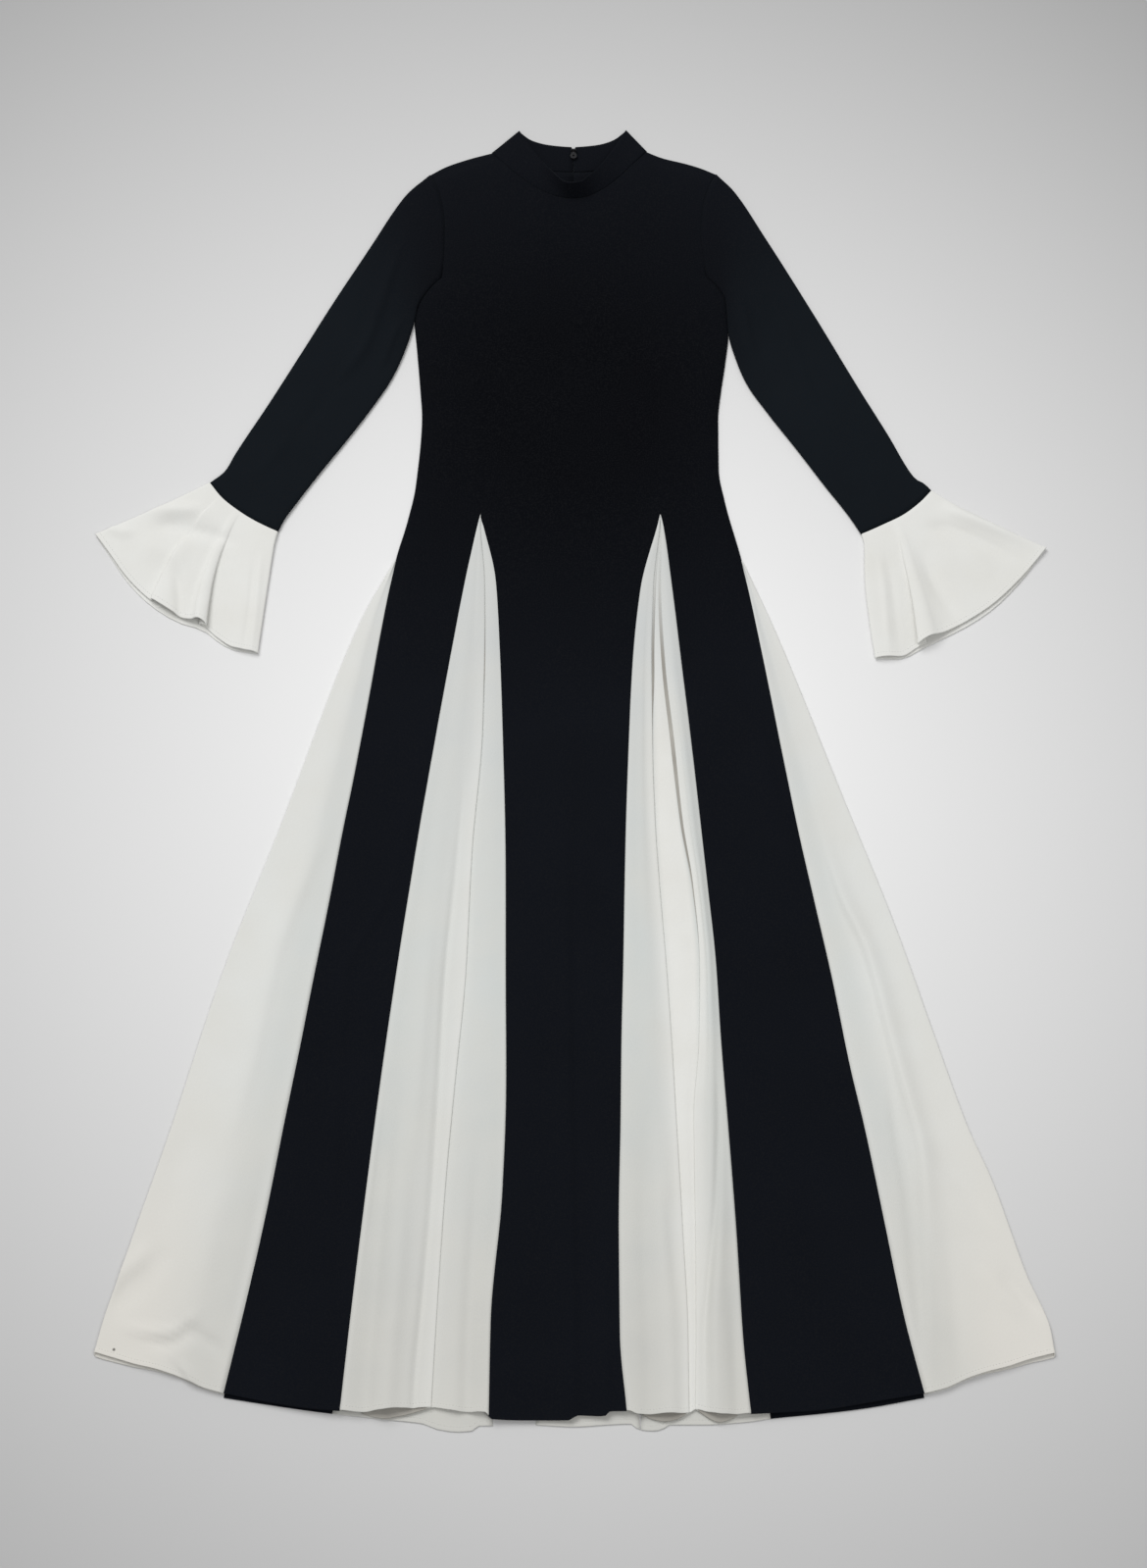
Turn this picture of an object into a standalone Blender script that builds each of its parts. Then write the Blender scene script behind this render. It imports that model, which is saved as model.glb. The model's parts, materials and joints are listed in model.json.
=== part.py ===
"""Long black dress with white godets and white bell cuffs, laid flat on its back.

Sizes are millimetres in the plan of the laid dress: x runs from the centre line towards the right,
y up from the lowest hem towards the collar, and z is the height above the surface that it lies on.
A cloth piece is one wall of even thickness on its middle surface, and all heights are of that surface.
"""

import math

import bmesh
import bpy
import numpy as np

# Driving sizes
WALL = 1.2
GAP = 0.3
SEAM = 0.4
CENTRE_X = -3.5
CENTRE_Y = 767.03

# Heights of the back layer, of a layer that lies on it, and of the front of the dress
BACK_Z = WALL / 2
LYING_Z = BACK_Z + WALL + GAP
FRONT_Z = 4.6
SEAM_RISE = 3.0

# Width and slope of the level part of a lobe at its fold, and the lobe's height there over the layer
# below it, which is at most a share of its full height over that layer
FOLD_SHOULDER = 7.0
FOLD_SLOPE = 0.4
FOLD_STEP = 3.6
FOLD_SHARE = 0.8

# Heights in the plan of the godets' tips and the underarms
SIDE_TIP_Y = 964.0
BACK_TIP_Y = 988.0
GODET_TIP_Y = 1020.0

# Rows of points up the skirt, counted from the hem, then up the body to the armhole
SKIRT_ROWS = (0, 55, 120, 200, 290, 380, 470, 560, 650, 740, 820, 890, 940)
TIP_ROWS = (964, 988, 1008)
BODY_ROWS = (1020, 1080, 1140, 1200, 1250, 1280, 1304, 1319, 1330)

# Shares of the way along an armhole or cuff seam of the points that both its pieces use
SEAM_SHARES = (0.0, 0.14, 0.3, 0.5, 0.7, 0.86, 1.0)

# Shares of the way across a side strip and the middle strip of the front
SIDE_SHARES = (0, 0.06, 0.2, 0.4, 0.62, 0.82, 1)
MIDDLE_SHARES = (0, 0.12, 0.27, 0.42, 0.52, 0.585, 0.65, 0.75, 0.83, 0.9, 1)
BACK_SHARES = (0, 0.33, 0.67, 1)

# Side seams of front and back: height, x
LEFT_SIDE = (
    (34, -356), (126, -337), (217, -320), (310, -305), (388, -292), (470, -279), (555, -265),
    (640, -252), (700, -242), (803, -226.5), (870, -217), (964, -201.5), (1013, -189),
    (1058, -180.5), (1143, -175), (1179, -177.5), (1233, -182.5), (1272, -186), (1290, -183),
    (1306, -176), (1319, -167), (1330, -156),
)
RIGHT_SIDE = (
    (34, 357), (112, 339.5), (210, 323), (310, 306), (376, 293), (470, 277.5), (568, 259),
    (640, 245.5), (721, 232), (873, 207), (964, 190.5), (1037, 173), (1079, 166.5), (1143, 167),
    (1179, 171), (1215, 176.5), (1256, 181), (1280, 180), (1298, 179), (1312, 173), (1322, 166),
    (1330, 157),
)

# Armholes from the shoulder to where sleeve and side part at the underarm: x, y
LEFT_ARMHOLE = ((-172, 1470), (-164, 1456), (-157, 1433), (-153, 1400), (-153, 1362), (-156, 1330))
RIGHT_ARMHOLE = ((171, 1471), (161, 1452), (153, 1420), (151, 1388), (153, 1358), (157, 1330))

# Shoulder seams from the armhole to the neck: x, y
LEFT_SHOULDER = ((-172, 1470), (-152, 1482), (-124, 1493), (-111, 1497), (-97, 1501))
RIGHT_SHOULDER = ((171, 1471), (152, 1480), (135, 1486), (107, 1494), (87, 1503))

# Necklines from left to right: x, y
FRONT_NECK = (
    (-97, 1501), (-80, 1481), (-64, 1466), (-49, 1454), (-34, 1445), (-18, 1439), (-3, 1437),
    (14, 1439), (34, 1449), (51, 1463), (70, 1483), (87, 1503),
)
BACK_NECK = (
    (-97, 1501), (-74, 1490), (-48, 1480), (-22, 1476), (0, 1475), (22, 1476), (46, 1481),
    (68, 1491), (87, 1503),
)

# Hems of the front and back layers: x, y
FRONT_HEM = (
    (-356, 34), (-304, 24), (-262, 18), (-237, 16), (-218, 14), (-194, 14), (-178, 17), (-145, 20),
    (-117, 16), (-90, 14), (-82, 8), (-50, 7), (-4, 7), (4, 12), (31, 11), (38, 16), (54, 16),
    (66, 12), (93, 12), (118, 15), (124, 18), (150, 11), (180, 13), (250, 17), (296, 24), (357, 34),
)
BACK_HEM = (
    (-356, 30), (-304, 22), (-261, 16), (-189, 8), (-139, 4), (-97, 0), (-79, 2), (-45, 3), (0, 1),
    (35, 3), (62, 5), (91, 2), (131, 3), (179, 6), (199, 9), (251, 14), (294, 19), (357, 30),
)

# Left front godet, with one lobe that turns back under itself to the left. fold is the lobe's edge,
# crest the crease beside it, tuck how far the cloth turns back. Below zero the fold opens to a step.
LEFT_GODET = (
    # height, left, right, crest, fold, tuck, lobe
    (14, -237, -86, -161, -145, 30, 12.5),
    (108, -229, -85, -154, -141, 28, 12),
    (244, -216, -74, -148, -134, 25, 11.5),
    (350, -205, -71, -142, -126, 22, 11),
    (474, -190.5, -72.5, -136, -116, 18, 10.5),
    (612, -172.5, -74, -126, -111, 12, 9.6),
    (759, -151, -78.5, -111, -101, 4, 8.4),
    (865, -134.5, -83, -108, -100, -3, 7),
    (939, -122.5, -88, -107, -101, -4, 5.6),
    (1008, -109, -103, -107, -106, -1, 4.8),
)

# Right front godet, an inverted pleat with a lobe on each side of its recess
RIGHT_GODET = (
    # height, left, right, left fold, right fold, left tuck, right tuck, lobe
    (14, 54, 180, 117, 124, 26, 24, 11.5),
    (92, 47.5, 173.5, 117, 126, 25, 23, 11.5),
    (200, 47, 169, 113, 127, 24, 20, 11),
    (313, 49.5, 162.5, 108, 127, 22, 16, 10.5),
    (402, 51, 157, 104, 134, 19, 9, 10),
    (490, 53.5, 153, 99, 136, 15, 4, 9.5),
    (577, 55.5, 145.5, 93, 130, 11, 1, 9),
    (649, 57.5, 139, 89, 120, 7, -2, 8.4),
    (740, 61, 130.5, 87, 112, 2, -4, 7.6),
    (835, 66, 121, 87, 103, -3, -4, 6.5),
    (930, 76, 111.5, 90, 99, -3, -3, 5.4),
    (1008, 96, 102, 98.3, 99.7, -0.4, -0.4, 4.8),
)

# Side godets: their outer folds (height, x) and hems (x, y), and the soft ridge along each, with its
# share of the way from seam to outer fold, its height, and the height at the outer fold
LEFT_OUTER = (
    (76, -490), (115, -481), (155, -469), (186, -460), (307, -424), (477, -377), (640, -322),
    (887, -240), (964, -202.5),
)
RIGHT_OUTER = (
    (75, 492), (100, 489), (155, 468), (252, 438), (310, 415), (410, 384), (535, 346), (687, 293),
    (873, 228), (964, 191.5),
)
LEFT_SIDE_HEM = (
    (-490, 76), (-470, 70), (-446, 63), (-428, 59), (-409, 53), (-393, 47), (-378, 40), (-356, 34),
)
RIGHT_SIDE_HEM = ((357, 34), (378, 39), (404, 50), (423, 56), (443, 61), (468, 69), (492, 75))
SIDE_RIDGE = (
    # height, share, ridge, edge
    (30, 0.42, 5.6, 4.6),
    (130, 0.40, 5.6, 4.2),
    (283, 0.38, 5.7, 3.6),
    (376, 0.36, 5.7, 3.4),
    (490, 0.38, 5.6, 3.4),
    (640, 0.42, 5.2, 3.4),
    (800, 0.45, 4.8, 3.4),
    (940, 0.50, 3.6, 3.0),
)
LOWER_HEM_DROP = 4.0
SIDE_COLUMNS = 21

# Back godets, flat: left and right at the hem, and x of the tip
BACK_LEFT_GODET = (-245, -82, -106)
BACK_CENTRE_GODET = (-38, 66, 0)
BACK_RIGHT_GODET = (70, 200, 100)

# Sleeve edges from shoulder and underarm to the cuff: x, y
LEFT_SLEEVE_OUTER = (
    (-172, 1470), (-198, 1444), (-216, 1416), (-237, 1377), (-280.5, 1299), (-317, 1230),
    (-355, 1159), (-389, 1098), (-400, 1076), (-417, 1061),
)
LEFT_SLEEVE_INNER = (
    (-156, 1330), (-168, 1322), (-179, 1308), (-187, 1290), (-190, 1268), (-196.5, 1236), (-211, 1197),
    (-233, 1159), (-263, 1114), (-294, 1070), (-320.5, 1030), (-330.5, 1014), (-337, 999),
)
RIGHT_SLEEVE_OUTER = (
    (171, 1471), (191, 1448), (227, 1384), (284, 1276), (332, 1181), (363, 1122),
    (392, 1064), (402, 1060), (410, 1051),
)
RIGHT_SLEEVE_INNER = (
    (157, 1330), (168, 1325), (177, 1315), (183, 1300), (184, 1280), (185, 1250), (190, 1220),
    (201, 1190), (225, 1151), (258, 1103), (290, 1055), (307.5, 1030), (319, 1012), (328, 996),
)

# Seams between sleeve and cuff, from the outer to the inner edge: x, y
LEFT_CUFF_SEAM = ((-417, 1061), (-402, 1042), (-383, 1026), (-362, 1012), (-337, 999))
RIGHT_CUFF_SEAM = ((410, 1051), (396, 1036), (376, 1020), (353, 1008), (328, 996))

# Cuff edges from the seam down, and hems from the outer to the inner edge: x, y
LEFT_CUFF_OUTER = ((-417, 1061), (-463, 1036), (-544, 996))
LEFT_CUFF_INNER = ((-337, 999), (-340, 986), (-345, 941), (-354, 850))
LEFT_CUFF_HEM = (
    (-544, 996), (-528, 974), (-504, 941), (-475, 913), (-443, 893), (-418, 884), (-400, 869),
    (-382, 857), (-354, 850),
)
RIGHT_CUFF_OUTER = ((410, 1051), (434, 1034), (472, 1012), (537, 979))
RIGHT_CUFF_INNER = ((328, 996), (331, 982), (330, 940), (334, 879), (338, 844))
RIGHT_CUFF_HEM = (
    (537, 979), (507, 943), (473, 910), (446, 891), (416, 874), (386, 857), (367, 846), (338, 844),
)
CUFF_ROWS = (0.0, 0.12, 0.34, 0.56, 0.78, 1.0)
CUFF_COLUMNS = 46

# Folds across the upper layer of each cuff, from its outer to its inner edge. A tuck takes the cloth
# back under its flute.
LEFT_FLUTES = (
    # place at the seam, place at the hem, tuck, height at the hem
    (0.10, 0.10, 0, 4.6),
    (0.16, 0.30, 0, 3.8),
    (0.20, 0.435, 0, 2.8),
    (0.205, 0.432, 0, 6.0),
    (0.215, 0.44, 0, 8.6),
    (0.28, 0.50, 0, 10.0),
    (0.36, 0.58, 0, 9.0),
    (0.42, 0.635, 0, 6.8),
    (0.44, 0.655, 0, 8.6),
    (0.465, 0.675, 0, 13.5),
    (0.49, 0.705, 0, 13.5),
    (0.505, 0.73, 0, 11.0),
    (0.512, 0.73, 0, 7.8),
    (0.517, 0.73, 0.04, 6.2),
    (0.527, 0.73, 0.04, 2.7),
    (0.58, 0.78, 0, 2.6),
    (0.70, 0.85, 0, 3.4),
    (0.85, 0.92, 0, 7.5),
    (0.95, 0.97, 0, 8.0),
)
RIGHT_FLUTES = (
    # place at the seam, place at the hem, tuck, height at the hem
    (0.08, 0.08, 0, 4.6),
    (0.20, 0.25, 0, 4.2),
    (0.36, 0.48, 0, 3.6),
    (0.48, 0.63, 0, 4.2),
    (0.53, 0.68, 0, 7.5),
    (0.56, 0.72, 0, 12.5),
    (0.585, 0.76, 0, 13.0),
    (0.60, 0.795, 0, 10.5),
    (0.607, 0.795, 0, 7.6),
    (0.612, 0.795, 0.045, 6.2),
    (0.622, 0.795, 0.045, 2.7),
    (0.68, 0.84, 0, 2.6),
    (0.78, 0.88, 0, 3.6),
    (0.88, 0.93, 0, 7.6),
    (0.95, 0.97, 0, 8.0),
)
TUCK_START = 0.3
CUFF_DROP = 6.0

# Sleeve rows as shares of its length, places across it, and its soft ridge
SLEEVE_ROWS = (0.0, 0.06, 0.14, 0.24, 0.36, 0.48, 0.6, 0.72, 0.82, 0.9, 0.95, 1.0)
RING_SHARES = (0.03, 0.14, 0.22, 0.3, 0.38, 0.5, 0.7, 0.86, 0.97)
SLEEVE_RIDGE = 2.4
SLEEVE_RIDGE_PLACE = 0.3

# Upper edge of the collar by share of the way round the front or back neckline
COLLAR_FRONT = (
    # share, x, y, height
    (0.0, -65, 1531, 3.2),
    (0.12, -54, 1512, 6),
    (0.27, -41, 1490, 10),
    (0.42, -25, 1466, 17),
    (0.5, -7, 1448, 22),
    (0.585, 8, 1450, 21),
    (0.65, 18, 1461, 17),
    (0.75, 31, 1477, 12),
    (0.88, 47, 1503, 7),
    (1.0, 63, 1532, 3.2),
)
COLLAR_BACK = (
    # share, x, y
    (0.0, -65, 1531),
    (0.165, -50, 1519),
    (0.33, -28, 1512.5),
    (0.5, -0.4, 1510),
    (0.67, 27, 1512.5),
    (0.835, 47, 1519),
    (1.0, 63, 1532),
)
COLLAR_ROWS = (0.0, 0.35, 0.7, 1.0)
COLLAR_FOLD_Z = 1.9

# Zip slider, which lies inside the back of the collar, and its pull
PIN_Y = 1503.5
PIN_RADIUS = 0.6
BARREL_RADIUS = 1.5
BARREL_LENGTH = 3.4
SLIDER_WIDTH = 6.0
SLIDER_LENGTH = 9.0
SLIDER_HEIGHT = 2.0
EAR_WIDTH = 1.0
EAR_LENGTH = 2.4
EAR_OVERLAP = 0.5
PULL_THICKNESS = 1.0
PULL_NECK = 3.0
EYE_Y = 1496.0
EYE_RADIUS = 4.0
EYE_HOLE = 1.3
SLIDER_TOP = WALL + GAP + SLIDER_HEIGHT
PIN_Z = SLIDER_TOP + GAP + BARREL_RADIUS

COLOURS = {
    # name: colour, roughness, metallic
    "black crepe": ((0.011, 0.012, 0.016, 1.0), 0.82, 0.0),
    "white crepe": ((0.74, 0.73, 0.70, 1.0), 0.78, 0.0),
    "dark metal": ((0.06, 0.06, 0.065, 1.0), 0.38, 0.9),
}


def smooth(table, at, key=0, value=1):
    """Value of a table's column where its key column is `at`, on a cubic that never overshoots."""
    rows = np.array(sorted(table, key=lambda row: row[key]), float)
    keys = rows[:, key]
    values = rows[:, value]
    steps = np.diff(keys)
    rises = np.diff(values) / steps
    slopes = np.concatenate([rises[:1], np.zeros(len(rises) - 1), rises[-1:]])
    same_way = rises[:-1] * rises[1:] > 0
    means = 2 * rises[:-1] * rises[1:] / np.where(same_way, rises[:-1] + rises[1:], 1.0)
    slopes[1:-1] = np.where(same_way, means, 0.0)
    row = int(np.clip(np.searchsorted(keys, at) - 1, 0, len(steps) - 1))
    share = (min(max(at, keys[0]), keys[-1]) - keys[row]) / steps[row]
    ease = share * share * (3 - 2 * share)
    start = share * (1 - share) ** 2 * steps[row] * slopes[row]
    end = share * share * (share - 1) * steps[row] * slopes[row + 1]
    return values[row] * (1 - ease) + values[row + 1] * ease + start + end


def along(points, share):
    """Point at a share of the length of a smooth line through some points."""
    points = np.array(points, float)
    lengths = np.concatenate([[0.0], np.cumsum(np.linalg.norm(np.diff(points, axis=0), axis=1))])
    at = share * lengths[-1]
    return np.array([smooth(np.column_stack([lengths, values]), at) for values in points.T])


def along_seam(points, share):
    """Point at a share of the way along a seam, on straight runs between the points both pieces use."""
    seam = np.array([along(points, part) for part in SEAM_SHARES])
    return np.array([np.interp(share, SEAM_SHARES, values) for values in seam.T])


def soften(points, rounds=3):
    """Rounds the corners of a line of points as cloth does, keeping both ends."""
    points = np.array(points, float)
    for _ in range(rounds):
        near = 0.75 * points[:-1] + 0.25 * points[1:]
        far = 0.25 * points[:-1] + 0.75 * points[1:]
        cut = np.stack([near, far], axis=1).reshape(-1, points.shape[1])
        points = np.concatenate([points[:1], cut[1:-1], points[-1:]])
    return points


def spread(points, count):
    """A count of points, evenly numbered along a longer line of them."""
    at = np.linspace(0, len(points) - 1, count)
    return np.column_stack([np.interp(at, range(len(points)), values) for values in points.T])


def fade(start, end, at):
    """Share from 0 at start to 1 at end, held level outside them."""
    return min(1.0, max(0.0, (at - start) / (end - start)))


def cloth(name, grids, material):
    """One cloth piece: grids of middle-surface points, welded where they share an edge, given a wall."""
    mesh = bpy.data.meshes.new(name)
    work = bmesh.new()
    for grid in grids:
        grid = np.array(grid, float)
        first = len(work.verts)
        bmesh.ops.create_grid(work, x_segments=grid.shape[1] - 1, y_segments=grid.shape[0] - 1, size=1)
        work.verts.ensure_lookup_table()
        for number, point in enumerate(grid.reshape(-1, 3)):
            work.verts[first + number].co = (point - (CENTRE_X, CENTRE_Y, 0)) / 1000
    bmesh.ops.remove_doubles(work, verts=work.verts, dist=0.00005)
    bmesh.ops.recalc_face_normals(work, faces=work.faces)
    work.to_mesh(mesh)
    work.free()
    mesh.materials.append(materials[material])
    mesh.shade_smooth()
    piece = bpy.data.objects.new(name, mesh)
    dress.objects.link(piece)
    wall = piece.modifiers.new("wall", "SOLIDIFY")
    wall.thickness = WALL / 1000
    wall.offset = 0


def row_y(row, hem):
    """Height of a skirt row where the hem is at `hem`: the rows close up towards the side godets' tips."""
    if row >= SIDE_TIP_Y:
        return row
    return hem + row * (SIDE_TIP_Y - hem) / SIDE_TIP_Y


def skirt(rows, sections, hem):
    """Grid of a skirt piece from its sections, each a line of (x, height) across it at one row."""
    feet = [hem(x, z) for x, z in sections[0]]
    return [
        [(x, row_y(row, foot), z) for (x, z), foot in zip(section, feet)]
        for row, section in zip(rows, sections)
    ]


def front_hem(x, z):
    return smooth(FRONT_HEM, x)


def back_hem(x, z):
    return smooth(BACK_HEM, x)


def left_side(row):
    return smooth(LEFT_SIDE, row_y(row, LEFT_SIDE[0][0]))


def right_side(row):
    return smooth(RIGHT_SIDE, row_y(row, RIGHT_SIDE[0][0]))


def slit(godet, column, row):
    """x of a front godet's left (column 1) or right (column 2) seam, or of the line above its tip."""
    if row >= GODET_TIP_Y:
        return (godet[-1][1] + godet[-1][2]) / 2
    return smooth(godet, row_y(row, godet[0][0]), 0, column)


def back_slit(godet, column, row):
    """x of a back godet's left (column 0) or right (column 1) seam, or of the line above its tip."""
    left_right = godet[column]
    tip = godet[2]
    return left_right + (tip - left_right) * fade(0, BACK_TIP_Y, row)


def seam_z(row):
    """Height of the front layer at the front godets' seams, which the lobes raise towards the hem."""
    return FRONT_Z + SEAM_RISE * fade(700, 0, row) ** 1.5


def side_z(row):
    """Height of the front layer at its side: on the back above the side godets, raised along them."""
    return LYING_Z + (FRONT_Z - LYING_Z) * fade(SIDE_TIP_Y, SIDE_TIP_Y - 80, row)


def part_seam(row, tip):
    """Half of the gap at a godet's seam, which closes above its tip."""
    return SEAM / 2 if row < tip else 0.0


def body_top(foot, top, left, right):
    """Grid from the underarm row up to the top edge, between its left and right edges, bottom to top."""
    foot = np.array(foot, float)
    top = np.array(top, float)
    across = np.linspace(0, 1, len(foot))[:, None]
    grid = []
    for rise, a, b in zip(SEAM_SHARES, left, right):
        row = foot + (top - foot) * rise
        grid.append(row + (a - row[0]) * (1 - across) + (b - row[-1]) * across)
    return grid


def armhole_edge(points, low, high):
    """Edge of a body panel up an armhole: its ends lie low, the points between them high."""
    heights = [low] + [high] * (len(SEAM_SHARES) - 2) + [low]
    return [(*along_seam(points, 1 - share), z) for share, z in zip(SEAM_SHARES, heights)]


def make_front():
    """Front panel: three strips that part below the godets' tips, and the body above the underarm."""
    rows = SKIRT_ROWS + TIP_ROWS + BODY_ROWS

    def outer_z(row, share):
        rise = (FRONT_Z - side_z(row)) * fade(0, SIDE_SHARES[2], share)
        return side_z(row) + rise + (seam_z(row) - FRONT_Z) * share ** 4

    def middle_z(row, share, x):
        pleat = 2.4 * math.exp(-(((x + 3) / 8) ** 2)) * fade(780, 580, row)
        step = 1.6 * math.exp(-(((x - 33) / 7) ** 2)) * fade(260, 60, row)
        return FRONT_Z + (seam_z(row) - FRONT_Z) * (2 * share - 1) ** 4 + pleat + step

    left = []
    middle = []
    right = []
    for row in rows:
        half = part_seam(row, GODET_TIP_Y)
        a = left_side(row)
        b = slit(LEFT_GODET, 1, row) - half
        left.append([(a + (b - a) * share, outer_z(row, share)) for share in SIDE_SHARES])
        a = slit(LEFT_GODET, 2, row) + half
        b = slit(RIGHT_GODET, 1, row) - half
        xs = [a + (b - a) * share for share in MIDDLE_SHARES]
        middle.append([(x, middle_z(row, share, x)) for x, share in zip(xs, MIDDLE_SHARES)])
        a = right_side(row)
        b = slit(RIGHT_GODET, 2, row) + half
        right.append([(a + (b - a) * share, outer_z(row, share)) for share in reversed(SIDE_SHARES)])
    strips = [skirt(rows, sections, front_hem) for sections in (left, middle, right)]
    foot = strips[0][-1] + strips[1][-1][1:] + strips[2][-1][1:]
    top = [(*along(LEFT_SHOULDER, share), LYING_Z) for share in SIDE_SHARES]
    top += [(*along(FRONT_NECK, share), FRONT_Z) for share in MIDDLE_SHARES[1:-1]]
    top += [(*along(RIGHT_SHOULDER, share), LYING_Z) for share in reversed(SIDE_SHARES)]
    left_edge = armhole_edge(LEFT_ARMHOLE, LYING_Z, FRONT_Z)
    right_edge = armhole_edge(RIGHT_ARMHOLE, LYING_Z, FRONT_Z)
    cloth("front", strips + [body_top(foot, top, left_edge, right_edge)], "black crepe")


def make_back():
    """Two back panels, flat, that meet at the centre-back seam above the centre godet."""
    rows = SKIRT_ROWS + TIP_ROWS[:2] + BODY_ROWS
    sides = (
        # name, side, own godet, its column nearer the side, shoulder, armhole, way from the centre
        ("back_left", left_side, BACK_LEFT_GODET, 0, LEFT_SHOULDER, LEFT_ARMHOLE, -1),
        ("back_right", right_side, BACK_RIGHT_GODET, 1, RIGHT_SHOULDER, RIGHT_ARMHOLE, 1),
    )
    for name, side, godet, near, shoulder, armhole, way in sides:
        outer = []
        inner = []
        for row in rows:
            half = way * part_seam(row, BACK_TIP_Y)
            a = side(row)
            b = back_slit(godet, near, row) + half
            outer.append([(a + (b - a) * share, BACK_Z) for share in BACK_SHARES])
            a = back_slit(godet, 1 - near, row) - half
            b = back_slit(BACK_CENTRE_GODET, near, row) + way * SEAM / 2
            inner.append([(a + (b - a) * share, BACK_Z) for share in BACK_SHARES])
        strips = [skirt(rows, sections, back_hem) for sections in (outer, inner)]
        foot = strips[0][-1] + strips[1][-1][1:]
        top = [(*along(shoulder, share), BACK_Z) for share in BACK_SHARES]
        for share in BACK_SHARES[1:]:
            neck = along(BACK_NECK, 0.5 + way * 0.5 * (1 - share))
            top.append((*neck, BACK_Z))
        centre_top = (way * SEAM / 2, top[-1][1], BACK_Z)
        top[-1] = centre_top
        centre_foot = np.array(foot[-1])
        centre = [centre_foot + (np.array(centre_top) - centre_foot) * share for share in SEAM_SHARES]
        edge = armhole_edge(armhole, BACK_Z, BACK_Z)
        cloth(name, strips + [body_top(foot, top, edge, centre)], "black crepe")


def make_back_godets():
    """Three flat white godets in the back, of which only the hems show below the front."""
    godets = (
        ("godet_back_left", BACK_LEFT_GODET),
        ("godet_back_centre", BACK_CENTRE_GODET),
        ("godet_back_right", BACK_RIGHT_GODET),
    )
    rows = SKIRT_ROWS
    for name, godet in godets:
        sections = []
        for row in rows:
            a = back_slit(godet, 0, row) + SEAM / 2
            b = back_slit(godet, 1, row) - SEAM / 2
            sections.append([(a + (b - a) * share, BACK_Z) for share in BACK_SHARES])
        cloth(name, [skirt(rows, sections, back_hem)], "white crepe")


def knife(fold, tuck, top, low, shoulder):
    """Corner points of a fold: along the lobe from its shoulder, round its edge, and back under it."""
    middle = (top + low) / 2
    return [
        (fold - shoulder, top + FOLD_SLOPE),
        (fold, top),
        (fold, middle),
        (fold - tuck, middle),
        (fold - tuck, low),
    ]


def left_godet_section(row):
    """Corner points across the left front godet at one row."""
    y = row_y(row, LEFT_GODET[0][0])
    crest, fold, tuck, lobe = (smooth(LEFT_GODET, y, 0, column) for column in (3, 4, 5, 6))
    left = slit(LEFT_GODET, 1, row) + SEAM / 2
    right = slit(LEFT_GODET, 2, row) - SEAM / 2
    edge = seam_z(row)
    low = LYING_Z + 0.5 * fade(1008, 900, row)
    top = low + min(FOLD_STEP, (lobe - low) * FOLD_SHARE)
    rest = right - fold
    return [
        (left, edge),
        (left + 0.1 * (crest - left), edge + 0.3),
        (left + 0.3 * (crest - left), edge + 0.75 * (lobe - edge)),
        (left + 0.55 * (crest - left), lobe),
        (left + 0.85 * (crest - left), 0.5 * (lobe + top)),
        (crest, top + 0.8),
        *knife(fold, tuck, top, low, min(FOLD_SHOULDER, 0.4 * (fold - crest))),
        (fold + 0.2 * rest, low),
        (fold + 0.6 * rest, low + 0.3 * (edge - low) + 1.2),
        (fold + 0.9 * rest, edge - 0.2),
        (right, edge),
    ]


def right_godet_section(row):
    """Corner points across the right front godet at one row."""
    y = row_y(row, RIGHT_GODET[0][0])
    columns = (3, 4, 5, 6, 7)
    first, second, tuck, other_tuck, lobe = (smooth(RIGHT_GODET, y, 0, column) for column in columns)
    left = slit(RIGHT_GODET, 1, row) + SEAM / 2
    right = slit(RIGHT_GODET, 2, row) - SEAM / 2
    edge = seam_z(row)
    low = LYING_Z + 0.5 * fade(1008, 900, row)
    top = low + min(FOLD_STEP, (lobe - low) * FOLD_SHARE)
    shoulder = min(FOLD_SHOULDER, 0.3 * (first - left))
    other_shoulder = min(FOLD_SHOULDER, 0.3 * (right - second))
    return [
        (left, edge),
        (left + 0.12 * (first - left), edge + 0.3),
        (left + 0.5 * (first - left), lobe),
        *knife(first, tuck, top, low, shoulder),
        ((first + second) / 2, low),
        *reversed(knife(second, -other_tuck, top, low, -other_shoulder)),
        (right - 0.5 * (right - second), lobe),
        (right - 0.12 * (right - second), edge + 0.3),
        (right, edge),
    ]


def make_front_godets():
    """The two white front godets, folded across and let into the front from tip to hem."""
    rows = SKIRT_ROWS + TIP_ROWS
    for name, section, columns in (
        ("godet_front_left", left_godet_section, 23),
        ("godet_front_right", right_godet_section, 30),
    ):
        sections = [spread(soften(section(row)), columns) for row in rows]
        cloth(name, [skirt(rows, sections, front_hem)], "white crepe")


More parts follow.
